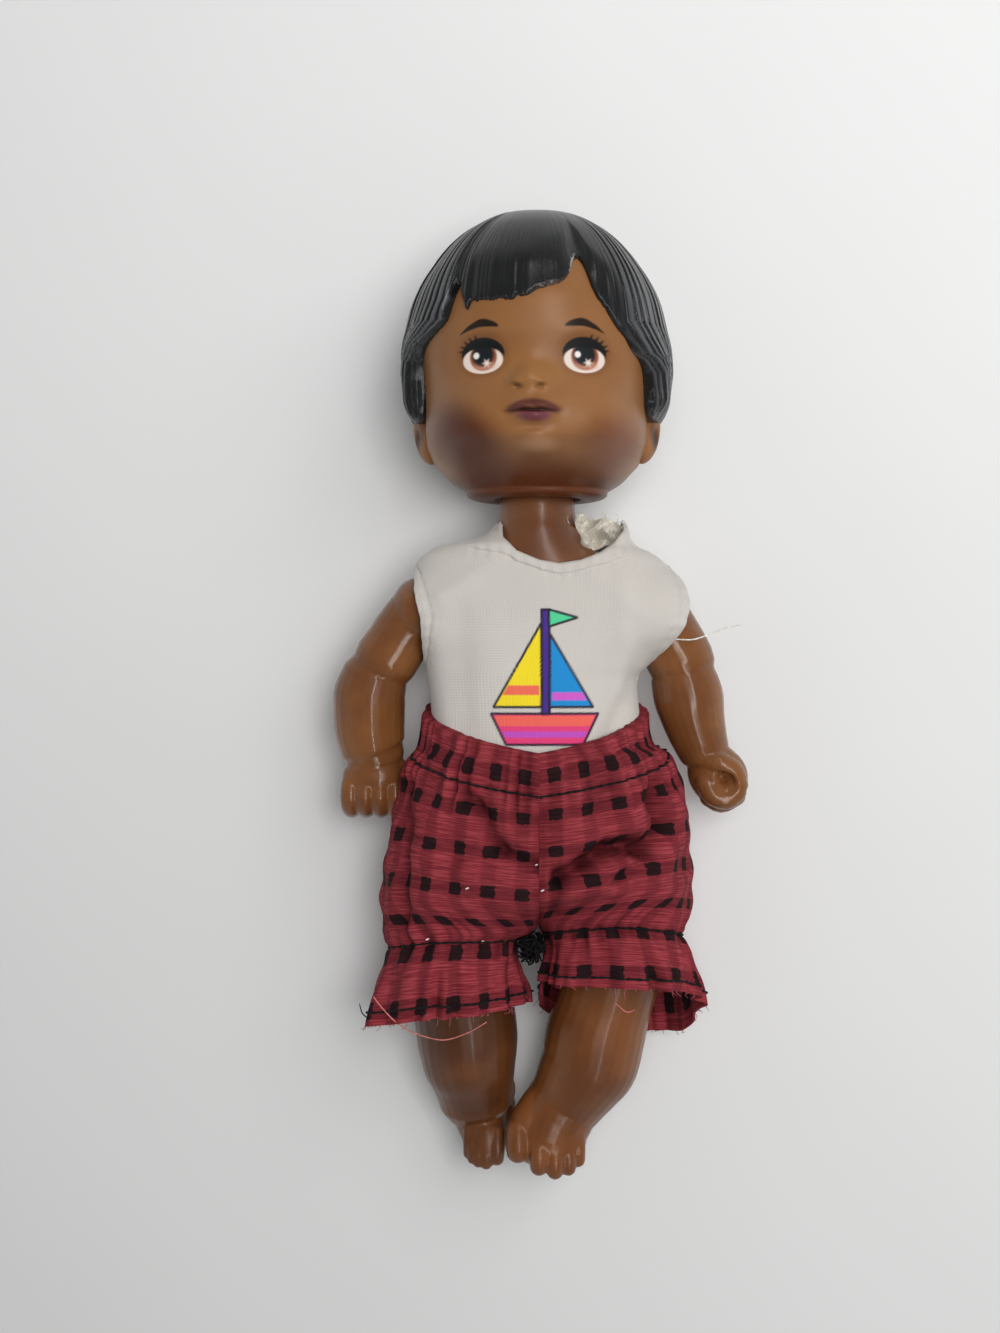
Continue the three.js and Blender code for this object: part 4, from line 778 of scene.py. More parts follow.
def strand_at(start):
    """Number of the strand that leaves the crown at a turn, and the way to its nearest groove in degrees."""
    away = np.abs((start[..., None] - strand_deg + 180) % 360 - 180).min(-1)
    return np.searchsorted(strand_deg, start) % len(strand_deg), away


def rounded(x):
    """Quarter of a circle: it rises steeply from 0 and levels out at 1."""
    return np.sqrt(np.clip(1 - (1 - np.clip(x, 0, 1)) ** 2, 0, 1))


edge_height = follow(HAIR_EDGE[:, 0], HAIR_EDGE[:, 1], columns_deg)
edge_strand, edge_groove = strand_at(swept(columns_deg, edge_height))
# How far each column lies beside the face, and how far it lies off the smooth top and fringe.
beside = ease((np.abs(columns_deg) - 42) / 28) * ease((150 - np.abs(columns_deg)) / 40)
at_side = ease((np.abs(columns_deg - 3) - 30) / 18)
edge_height = edge_height + strand_end[edge_strand] * ease(edge_groove / 0.7) * (1 - beside)
# Shares of the way from the crown to the edge, closer together near the edge.
down = np.r_[np.linspace(0, 0.9, 72), 1 - 0.1 * (1 - np.linspace(0, 1, 30)[1:]) ** 1.6]
crown_key = HEAD_KEYS[-1] - 0.02
hair_keys = crown_key + (key_at(edge_height) - crown_key) * down[:, None]
from_edge = hair_keys - key_at(edge_height)
hair_heights = follow(HEAD_KEYS, HEAD_ROWS[:, 0], hair_keys)
edge_round = rounded(from_edge / SIDE_ROUND)
fringe = FRINGE_THICK * rounded(from_edge / FRINGE_ROUND)
fringe = fringe + (HAIR_THICK - FRINGE_THICK) * ease(from_edge / FRINGE_GROWN)
thick = fringe * (1 - at_side) + HAIR_THICK * edge_round * at_side
thick = thick * (1 + follow(HAIR_FLARE[:, 0], HAIR_FLARE[:, 1], hair_heights) / HAIR_THICK * beside)
# The cut edge beside the face shows a few strands more, side by side through its thickness.
start_deg = swept(np.broadcast_to(columns_deg, hair_heights.shape), hair_heights)
start_deg = start_deg - np.sign(columns_deg) * EDGE_STRANDS_DEG * (1 - edge_round) * beside
strand, groove_deg = strand_at(start_deg)
fall = ease((down[:, None] - 0.1) / 0.4)
arch = rounded(groove_deg / 1.25)
relief = (arch - 1) * (0.03 + 0.36 * at_side)
relief += strand_rise[strand] * ease(groove_deg / 0.9) * (0.015 + 0.12 * at_side)
hair_out = np.maximum(thick + relief * fall * np.clip(thick / HAIR_THICK, 0, 1), 0)
hair_out -= EDGE_SINK * (from_edge < 1e-6)
hair_turns = np.broadcast_to(np.radians(columns_deg), hair_keys.shape)
hair_local = head_point(hair_keys, hair_turns, hair_out)
hair_inner = head_point(hair_keys, hair_turns, np.full_like(hair_keys, -INNER_SINK))
# The black has rubbed off in specks along the fringe. At the sides the strands' crests are painted lighter,
# more on the doll's right, as painted sheen, and the grooves darker as painted shade.
speck = np.hypot((columns_deg - 18.5) * 0.2, from_edge - 0.3)
rubbed = 0.3 - speck + rng.normal(0, 0.16, from_edge.shape)
scuff = 0.2 - from_edge - 0.03 * np.abs(columns_deg - 8) + rng.normal(0, 0.14, from_edge.shape)
# Painted sheen on the crests at the sides, fading out towards the crown.
crest_sheen = np.where(columns_deg < 0, 0.15, 0.085) * at_side * ease((groove_deg - 0.7) / 1.3)
crest_sheen *= 0.6 + 0.75 * strand_rise[strand]
# Painted shade in the grooves at the sides.
groove = 0.0085 * (1 - 0.75 * at_side * (1 - arch))
hair_grey_and_sheen = groove + np.maximum(crest_sheen, 0) * ease((28 - hair_heights) / 8)
hair_colour = covered(hair_grey_and_sheen[..., None] * [0.96, 1, 1.1], scuff, tint("6d5a4d"), 0.1, 0.7)
hair_colour = covered(hair_colour, rubbed, tint("c4bdb6"), 0.08, 0.9)


def flat_place(tree):
    """Place on the flat cloth, or on the combed hair."""
    return put(tree, "ShaderNodeUVMap", uv_map="cloth").outputs[0]


def streaks(tree, across, along, detail):
    """Noise drawn out along the flat cloth, with its pace across and along."""
    inputs = {"Vector": flat_place(tree), "Scale": (across, along, 1)}
    drawn = put(tree, "ShaderNodeMapping", inputs).outputs[0]
    return put(tree, "ShaderNodeTexNoise", {"Vector": drawn, "Scale": 1.0, "Detail": detail}).outputs["Fac"]


def hair_finish():
    """Glossy black paint over moulded strands, rubbed off in specks, with painted sheen and painted shade on
    the strands at the sides, and fine combed lines.
    """
    material, tree, shader = new_finish("hair_paint", IOR=1.55)
    worn = vectors(tree, "MULTIPLY", own_paint(tree), ranged(tree, cloudy(tree, 2.2, 5, 0.6), 0.75, 1.3))
    coloured(tree, shader, worn, ranged(tree, cloudy(tree, 2.5, 4), 0.2, 0.32))
    turn = put(tree, "ShaderNodeSeparateXYZ", {0: flat_place(tree)}).outputs[0]
    aside = fade(tree, calc(tree, "ABSOLUTE", calc(tree, "SUBTRACT", turn, 0.5)), 0.08, 0.13)
    bundles = calc(tree, "MULTIPLY", streaks(tree, 150, 0.8, 1.0), calc(tree, "MULTIPLY", aside, 5.0))
    raised(tree, shader, calc(tree, "ADD", streaks(tree, 420, 3, 2.0), bundles), 0.04, 0.45)
    return material


# The inner face needs few rows, since it lies under the head's skin.
inner_rows = [len(down) - 1, 66, 33, 0]
rows_used = np.r_[np.arange(len(down)), inner_rows]
hair_body = closed_loft(on_neck(np.vstack([hair_local, hair_inner[inner_rows]])))
hair_flat = np.stack(np.broadcast_arrays((start_deg + 180) / 360, down[:, None]), -1)
hair = add_piece(
    "hair_cap", hair_body, hair_finish(),
    uv=np.vstack([hair_flat[rows_used].reshape(-1, 2), np.zeros((2, 2))]),
    paint=np.vstack([hair_colour[rows_used].reshape(-1, 3), np.zeros((2, 3))]),
)
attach(hair, "head")

# Sleeveless top, front panel
# Off-white cotton jersey with a narrow turned hem at the neck and the armholes, sewn to the back panels at
# the sides and shoulders. A bright sailing boat is printed on the chest. The left armhole stands off the arm.

KNIT_THICK = 0.4
HEM_Y = 8.4
COLLAR_TOP = 40.2
BACK_TOP = 39.2
# The neck opening is searched for from this height up, in so many steps.
NECK_LOW, NECK_STEPS = 33, 1500
# Edge of the neck opening in front: place across and height.
NECKLINE = np.array([
    [-4.4, 40.2], [-4.1, 37.8], [-2.5, 36.2], [0.1, 35.1], [2.4, 34.7], [4.9, 35.1], [7.2, 36], [8.8, 37.1],
    [10.1, 38.7], [10.6, 40.2],
])
ARMHOLE_Y = SHOULDER_Y - 0.4
ARMHOLE_RADIUS = 5.8
# Rows of height along the body, the doll's right edge, its left edge and half depth of the loose knit.
SHIRT_ROWS = np.array([
    [6, -12.3, 11.7, 9.05], [14, -12.4, 11.6, 9.05], [17.8, -12.5, 11.6, 9], [21.2, -12.9, 11.8, 8.9],
    [23.2, -13.2, 13.2, 8.8], [25.8, -13.4, 15.3, 8.5], [28.1, -13.6, 17.1, 8.1], [30.1, -14.1, 17.6, 7.75],
    [32.1, -14.4, 17.2, 7.4], [34.4, -14.4, 15.6, 7.05], [35.3, -14.1, 14.8, 6.95], [36.3, -13, 13.3, 6.8],
    [36.9, -11.9, 11.9, 6.7], [37.7, -8.2, 11.2, 6.6], [38.6, -5.9, 10.8, 6.45], [39.3, -5.1, 10.5, 6.35],
    [40.2, -4.4, 10.2, 6.2], [43, -4.2, 10, 6],
])
KNIT_FULLNESS = 2.4
# Half the panel's width when flat, and from seam to seam at the armholes; and a distance away from any hem.
FLAT_HALF, ARMHOLE_HALF, FAR = 17, 14, 9


def armhole_turn(y, deep):
    """Turn from the side seam at which the armhole cuts a row: the hole is a circle seen from the side."""
    rise = ARMHOLE_RADIUS * np.clip(1 - ((y - ARMHOLE_Y) / ARMHOLE_RADIUS) ** 2, 0, 1) ** 0.8 / deep
    return np.arctan2(rise, (1 - rise**KNIT_FULLNESS) ** (1 / KNIT_FULLNESS))


def knit_point(s, y, front, out=0.0):
    """Place on the knit for a share s from the doll's right edge, -1, to its left edge, 1, at a height: half
    a squared oval between the side seams, which stops at the armholes."""
    right, left, deep = np.moveaxis(follow(SHIRT_ROWS[:, 0], SHIRT_ROWS[:, 1:], y), -1, 0)
    cut = armhole_turn(y, deep)
    across, up = squared(np.pi / 2 - s * (np.pi / 2 - cut), KNIT_FULLNESS)
    x = (left + right) / 2 + ((left - right) / 2 + out) * across / squared(cut, KNIT_FULLNESS)[0]
    z = AXIS_Z + front * (deep + out) * up
    return np.stack([x, y, z], -1)


def neckline(s, front):
    """Height at which each column ends: in front at the line of the neck opening, behind at a level edge."""
    if front < 0:
        return BACK_TOP + (COLLAR_TOP - BACK_TOP) * np.abs(s) ** 4
    level = np.linspace(NECK_LOW, COLLAR_TOP, NECK_STEPS)
    x = knit_point(s[:, None], np.broadcast_to(level, (len(s), len(level))), front)[..., 0]
    edge = np.interp(x, NECKLINE[:, 0], NECKLINE[:, 1], left=COLLAR_TOP, right=COLLAR_TOP)
    above = level[None] >= edge
    return level[np.where(above.any(1), above.argmax(1), len(level) - 1)]


def from_stretch(x, y, start, end):
    """Distance to the stretch between two places."""
    (ax, ay), (bx, by) = start, end
    t = np.clip(((x - ax) * (bx - ax) + (y - ay) * (by - ay)) / ((bx - ax) ** 2 + (by - ay) ** 2), 0, 1)
    return np.hypot(x - ax - t * (bx - ax), y - ay - t * (by - ay))


def polygon(x, y, corners):
    """How far inside a polygon a point lies: the distance to its nearest side, negative outside."""
    corners = np.asarray(corners, float)
    nearest_side, inside = np.full(x.shape, np.inf), np.zeros(x.shape, bool)
    for (ax, ay), (bx, by) in zip(corners, np.roll(corners, -1, 0)):
        nearest_side = np.minimum(nearest_side, from_stretch(x, y, (ax, ay), (bx, by)))
        crossing = (ay > y) != (by > y)
        inside ^= crossing & (x < (bx - ax) * (y - ay) / np.where(by == ay, 1e-9, by - ay) + ax)
    return np.where(inside, nearest_side, -nearest_side)


PRINT_AT = (0.8, 21.3)
PRINT_INK = "2b2233"
PRINT_SHAPES = [
    ("e8447f", [(-6.2, -3.9), (6, -3.9), (4.3, -7.4), (-4.5, -7.4)]),
    ("f8df2a", [(-0.5, 6.4), (-0.5, -3.1), (-5.9, -3.1)]),
    ("1f8fd6", [(0.5, 5.2), (0.5, -3.1), (5.4, -3.1)]),
    ("4a2f8e", [(-0.42, 8), (0.42, 8), (0.42, -3.9), (-0.42, -3.9)]),
    ("55d69c", [(0.42, 8), (0.42, 6.1), (3.6, 7.1)]),
]
# Stripes: number of the shape, middle, half height and colour.
PRINT_STRIPES = [
    (0, -4.7, 0.6, "f46a5c"), (0, -6.25, 0.35, "c455c4"), (1, -1.2, 0.55, "f4705a"),
    (2, -1.9, 0.45, "d65fd0"),
]


def print_paint(x, y, cloth):
    """Colour of the printed front: flat inks inside outlined shapes, with stripes."""
    a, b = x - PRINT_AT[0], y - PRINT_AT[1]
    colour = np.broadcast_to(tint(cloth), (*a.shape, 3))
    for ink, corners in PRINT_SHAPES:
        inside = polygon(a, b, corners)
        colour = covered(colour, inside + 0.17, tint(PRINT_INK), 0.07)
        colour = covered(colour, inside - 0.12, tint(ink), 0.07)
    for shape, middle, half, ink in PRINT_STRIPES:
        inside = polygon(a, b, PRINT_SHAPES[shape][1]) - 0.2
        colour = covered(colour, np.minimum(inside, half - np.abs(b - middle)), tint(ink), 0.06)
    return colour


# Soft folds of the knit: a line from one place to another, height and reach, in millimetres.
KNIT_FOLDS = [
    ((15.5, 27), (10.5, 14), 0.5, 1.5), ((12.6, 24.5), (7.5, 13), -0.4, 1.2),
    ((-12, 27), (-10.4, 14), 0.25, 1.2), ((-9, 30), (-8.4, 16), -0.2, 1.4),
    ((6, 34), (11.5, 29), 0.25, 1.3), ((-5, 35), (-11, 31), 0.3, 1.1), ((9.5, 33), (9.8, 20), 0.22, 1.2),
]


def along_lines(x, y, lines):
    """Sum of soft ridges: each is a bell curve across the distance to a stretch between two places."""
    total = np.zeros(x.shape)
    for start, end, rise, reach in lines:
        total += rise * hill(from_stretch(x, y, start, end), reach)
    return total


def knit_grid(shares, rises, front, folds):
    """The knit's outer face on a grid of shares across and rises from hem to neckline, with folds, a raised
    band of hem along the neck and armholes, and a stitch line pressed into it."""
    s, rise = np.meshgrid(shares, rises)
    top = neckline(shares, front)
    y = HEM_Y + rise * (top - HEM_Y)
    flat = knit_point(s, y, front)
    to_neck = (1 - rise) * (top - HEM_Y)
    to_neck = to_neck + FAR * (1 - ease((COLLAR_TOP - 0.1 - top) / 0.8)) * (front > 0)
    from_low, from_high = y - ARMHOLE_Y + ARMHOLE_RADIUS, ARMHOLE_Y + ARMHOLE_RADIUS - y
    near_arm = ease((from_low + 0.6) / 1.2) * ease((from_high + 0.4) / 0.8)
    to_arm = np.where(near_arm > 0, (1 - np.abs(s)) * ARMHOLE_HALF, FAR)
    band = 0.16 * (ease((1.35 - to_neck) / 0.3) + near_arm * ease((1.5 - to_arm) / 0.4))
    stitch = -0.13 * (hill(to_neck - 1.4, 0.16) + near_arm * hill(to_arm - 1.55, 0.16))
    roll = -0.28 * (ease((0.3 - to_neck) / 0.3) ** 2 + near_arm * ease((0.3 - to_arm) / 0.3) ** 2)
    pucker = 0.06 * np.sin(flat[..., 0] * 4.4) * hill(to_neck - 1, 1)
    pucker += 0.06 * np.sin(y * 4.6) * near_arm * hill(to_arm - 1.2, 0.9)
    out = along_lines(flat[..., 0], flat[..., 1], folds) + band + stitch + roll + pucker
    return knit_point(s, y, front, out), s, y


def threads_both_ways(tree, across, along):
    """Waves of a thread's pitch across and along the flat cloth."""
    place = put(tree, "ShaderNodeSeparateXYZ", {0: flat_place(tree)})
    return [
        calc(tree, "SINE", calc(tree, "MULTIPLY", place.outputs[i], 2 * np.pi / pitch))
        for i, pitch in enumerate((across, along))
    ]


def knit_finish():
    """Jersey: off-white cotton with its print, fine ribs down the cloth, a little soil and loose lint."""
    material, tree, shader = new_finish("jersey_knit", Roughness=0.92, Sheen_Weight=0.25, Sheen_Roughness=0.5)
    soil = ranged(tree, cloudy(tree, 5, 5), 0.95, 1.0, 0.3, 0.7)
    coloured(tree, shader, vectors(tree, "MULTIPLY", own_paint(tree), soil))
    wale, course = threads_both_ways(tree, 0.36, 0.3)
    loops = calc(tree, "ADD", calc(tree, "MULTIPLY", wale, 0.3), calc(tree, "MULTIPLY", course, 0.2))
    lint = calc(tree, "MULTIPLY", streaks(tree, 2.2, 0.12, 4.0), 1.5)
    raised(tree, shader, calc(tree, "ADD", loops, lint), 0.05, 0.5)
    return material


knit = knit_finish()
CLOTH_COLOUR = "cfcac4"
front_shares = spaced(-1, (-0.95, 0.008), (-0.5, 0.02), (0.56, 0.0085), (0.95, 0.02), (1, 0.008))
front_rises = spaced(0, (0.16, 0.02), (0.8, 0.0046), (0.95, 0.01), (1, 0.0035))
front_grid, front_s, front_y = knit_grid(front_shares, front_rises, 1, KNIT_FOLDS)


def knit_panel(name, grid, s, y, front, paint):
    """A knit panel as two layers of cloth, with its cloth places in millimetres."""
    rows, columns = s.shape
    normal = grid_normals(grid)
    normal *= front * np.sign(normal[rows // 2, columns // 2, 2])
    flat = np.stack([s * FLAT_HALF, y], -1).reshape(-1, 2)
    body = two_layers(grid, grid - normal * KNIT_THICK)
    piece = add_piece(name, body, knit, uv=np.vstack([flat, flat]), paint=paint)
    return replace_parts(piece, name + "_panel")


bare = np.broadcast_to(tint(CLOTH_COLOUR), (front_s.size, 3))
front_paint = print_paint(front_grid[..., 0].ravel(), front_grid[..., 1].ravel(), CLOTH_COLOUR)
shirt_front = knit_panel("shirt_front", front_grid, front_s, front_y, 1, np.vstack([front_paint, bare]))
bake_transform(shirt_front)

# Sleeveless top, back panels
# The same jersey in a left and a right half that lap at the middle of the back and close with tape. The left
# half lies over the right one.

LAP = 0.22
LAP_LIFT = 1.3
BACK_COLUMNS = 100
BACK_FOLDS = [((11, 27), (9, 12), 0.3, 1.5), ((-11, 27), (-9, 12), 0.3, 1.5)]
back_rises = spaced(0, (0.95, 0.014), (1, 0.004))
for name, low, high, lift in (("shirt_back_right", -1, LAP, 0), ("shirt_back_left", -LAP, 1, LAP_LIFT)):
    grid, s, y = knit_grid(np.linspace(low, high, BACK_COLUMNS), back_rises, -1, BACK_FOLDS)
    grid[..., 2] -= lift * ease((0.34 - s) / 0.14) * ease((y - 8) / 3)
    panel = knit_panel(name, grid, s, y, -1, np.broadcast_to(tint(CLOTH_COLOUR), (2 * s.size, 3)))
    if name == "shirt_back_left":
        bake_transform(panel)
    else:
        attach(panel, "torso")

# Back closure
# A strip of hook tape and a strip of loop tape, off-white nylon, sewn one to each back panel so that they
# press together under the lap.


def tape_finish():
    """Nylon tape: pale beige with a dense nap of tiny hooks and loops."""
    material, tree, shader = new_finish("closure_tape", Roughness=0.95, Sheen_Weight=0.4)
    inputs = {"Vector": own_place(tree), "Scale": 1 / (0.35 * MM)}
    nap = put(tree, "ShaderNodeTexVoronoi", inputs).outputs["Distance"]
    coloured(tree, shader, blended(tree, fade(tree, nap, 0.1, 0.7), opaque("e4e0d4"), opaque("cfc8ba")))
    raised(tree, shader, nap, 0.1, 0.6)
    return material


tape = tape_finish()
TAPE_HALF_WIDTH = 2.3
TAPE_LOW, TAPE_HIGH = 23.4, 33
BACK_HALF_WIDTH = 16
tape_across = np.linspace(-TAPE_HALF_WIDTH, TAPE_HALF_WIDTH, 24)
for name, inside, outside in (("closure_loop_tape", 0.5, 0.75), ("closure_hook_tape", 0.8, 1.05)):
    across, along = np.meshgrid(tape_across, np.linspace(TAPE_LOW, TAPE_HIGH, 40))
    back = knit_point(across / BACK_HALF_WIDTH, along, -1)
    layers = [np.stack([across, along, back[..., 2] - depth], -1) for depth in (outside, inside)]
    stand_in(add_piece(name + "_nap", two_layers(*layers), tape), "torso", name)


def thread(path, radii, around=6, per_mm=5.0, upright=(0.2, 0.3, 1)):
    """Thin round thread along a path, with its radius at each point."""
    return sausage(np.column_stack([path, radii]), around, per_mm, upright)


# The loop tape's frayed end stands up beside the neck.
SCRAP_ROWS, SCRAP_COLUMNS = 46, 60
SCRAP_THICK = 0.35
SCRAP_LINT = 46
a, b = np.meshgrid(np.linspace(0, 1, SCRAP_COLUMNS), np.linspace(0, 1, SCRAP_ROWS))
scrap_grid = np.stack([
    4.7 + 5.2 * a + 0.35 * np.sin(7 * b + 2 * a),
    36.7 + 4 * b - 1.2 * a * b + 0.3 * np.sin(9 * a + 2),
    14.2 + 0.8 * np.sin(8.5 * a + 4 * b) + 0.5 * np.sin(15 * a - 7 * b + 1) + 0.35 * np.sin(11 * b + 3 * a),
], -1)
scrap_bodies = [two_layers(scrap_grid, scrap_grid - [0, 0, SCRAP_THICK])]
for _ in range(SCRAP_LINT):
    row, column = rng.integers(8, SCRAP_ROWS), rng.integers(0, SCRAP_COLUMNS)
    lint = scrap_grid[row, column] + np.cumsum(rng.normal([0, 0.12, 0.12], 0.28, (4, 3)), 0)
    scrap_bodies.append(thread(lint, [0.05, 0.05, 0.04, 0.03], 4, 2.5, (0.3, 0.2, 1)))
scrap = add_piece("closure_tape_end", joined(scrap_bodies), tape)
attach(scrap, "torso")

# Shorts
# Red checked cotton in a left and a right panel, each sewn into a leg and joined along the middle front and
# back. A casing round the waist and a channel in each cuff hold elastic, which gathers the cloth; the cuff
# ends in a ruffle.

COTTON_THICK = 0.25
WAIST_Y = 17.7
WAIST_SLOPE = 0.42
CASING = 4.9
CUFF_Y = -9.7
CASING_INSET = 1.75
PANEL_WIDTH = 47.5
SEAT_FULLNESS, LEG_FULLNESS = 2.25, 2.2
WAIST_HALF_DEPTH = 11.2
SEAM_REACH = 0.75
# Height at which the seat begins to part into legs, and how much lower they are apart.
PARTING_Y, PARTING_DROP = -4, 6.5
# Half the gap at the middle seams, and the height at which the cloth lies on the surface.
HALF_SEAM, REST_HEIGHT = 0.03, 0.3
WAIST_GATHERS, CUFF_GATHERS = 21, 24
PANEL_COLUMNS, BODY_ROWS, RUFFLE_ROWS, HEM_ROWS = 300, 76, 40, 8
# Rows of height: the seat's half depth and each leg's half depth.
SHORTS_ROWS = np.array([
    [-20.5, 9, 9], [-16, 9, 8.8], [-12, 9, 8.4], [-10.3, 9.2, 8], [-9.7, 9.3, 7.9], [-9, 9.6, 8.2],
    [-7, 10.4, 9.2], [-4, 11.3, 10.2], [0, 11.8, 11], [4.8, 11.9, 11.5], [9, 11.7, 11.5],
    [12.5, 11.3, 11.3], [24, 11.2, 11.2],
])
# Outline of each leg: height, how far the outside and the inside lie from the middle.
LEFT_OUTLINE = np.array([
    [-22.5, 19.9, 0.3], [-16, 19.1, 0.5], [-12, 18.1, 0.9], [-9.7, 17.4, 0.9], [-9, 17.5, 0.5],
    [-7.6, 18, 0.03], [-3.6, 18.3, 0.03], [0.7, 18.1, 0.03], [6.3, 17.6, 0.03], [10.8, 16.4, 0.03],
    [12.7, 15.3, 0.03], [13.6, 13.6, 0.03], [16, 13.1, 0.03], [24, 13, 0.03],
])
RIGHT_OUTLINE = np.array([
    [-22.5, 20, 1.6], [-16, 19.2, 1.8], [-12, 18.2, 2.4], [-9.7, 17.6, 2.3], [-9, 17.8, 0.9],
    [-7.6, 18.2, 0.03], [-4, 18.5, 0.03], [-0.9, 18.1, 0.03], [4.2, 17.3, 0.03], [11.8, 15.2, 0.03],
    [13.4, 14, 0.03], [17.5, 13.5, 0.03], [24, 13.5, 0.03],
])
# Folds of each panel: from, to, rise and reach, in millimetres.
LEFT_FOLDS = [
    ((1.8, -5), (2.4, -0.9), -1.3, 0.85), ((2.4, -0.9), (5.3, 0.6), -1.7, 0.9),
    ((5.3, 0.6), (7.7, 2.2), -1.8, 0.9), ((7.7, 2.2), (10.7, 2.4), -1.9, 0.95),
    ((10.7, 2.4), (12.6, 2), -1.5, 0.9), ((12.6, 2), (14.2, 4.3), -1.5, 0.9),
    ((14.2, 4.3), (13.5, 7), -1.3, 0.85), ((13.5, 7), (13.2, 12.4), -1.1, 0.8),
    ((12.6, 1.6), (8.7, -1.5), -1.2, 0.8), ((3.5, -2.8), (7.5, -2), 1, 1.5), ((4, 3.6), (10, 5), 0.8, 1.5),
    ((13.5, -2.5), (16, 6), 0.8, 1.8), ((11.5, 9), (10.5, 5.5), 0.4, 1.5),
    ((7, -0.2), (11, 0.4), 0.7, 0.8),
]
RIGHT_FOLDS = [
    ((-11.5, 11.5), (-7.4, 7.2), -0.8, 0.9), ((-7.4, 7.2), (-4.3, 2.2), -1.0, 0.9),
    ((-4.3, 2.2), (-0.7, 0.2), -1.2, 0.9), ((-4, 6), (-1.5, 2.5), 0.8, 1.2),
    ((-13.5, 6), (-12, -6), 0.4, 1.5), ((-8, 0), (-7, -7), 0.3, 1.4), ((-15.3, 9), (-16, -8), -1.1, 0.8),
    ((-10, 5), (-10.4, -5), -0.25, 1.2),
]


def shorts_place(u, y, low_y, outline, out):
    """Place on a panel, u from the front seam, 0, over the outside, a half, to the back seam, 1. High up a
    row is half an oval round the seat; low down it is a whole oval round one leg; between, one turns into the
    other. low_y is the height with the slant of the cuff taken out."""
    seat, leg = np.moveaxis(follow(SHORTS_ROWS[:, 0], SHORTS_ROWS[:, 1:], low_y), -1, 0)
    outside, inside = np.moveaxis(follow(outline[:, 0], outline[:, 1:], low_y), -1, 0)
    share = ease((PARTING_Y - low_y) / PARTING_DROP)
    up, across = squared(np.pi * u, SEAT_FULLNESS)
    high_x, high_z = (outside + out) * across - HALF_SEAM, (seat + out) * up
    narrow = out * ease((-9 - low_y) / 2)
    across, up = squared(2 * np.pi * u, LEG_FULLNESS)
    low_x = (outside + inside + out - narrow) / 2 - (outside - inside + out + narrow) / 2 * across
    low_z = (leg + out) * up
    x = np.maximum((1 - share) * high_x + share * low_x, -HALF_SEAM)
    z = np.maximum(AXIS_Z + (1 - share) * high_z + share * low_z, REST_HEIGHT)
    return np.stack([x, y, z], -1)


def ripple(u, count, seed):
    """Uneven gathers round a panel: a wave whose pace and height drift."""
    draw = np.random.default_rng(seed)
    a, b, c = draw.uniform(0, 2 * np.pi, 3)
    pace = count * u + 0.5 * np.sin(2 * np.pi * 3 * u + a) + 0.28 * np.sin(2 * np.pi * 7 * u + b)
    return np.sin(2 * np.pi * pace) * (0.75 + 0.35 * np.sin(2 * np.pi * 5 * u + c))


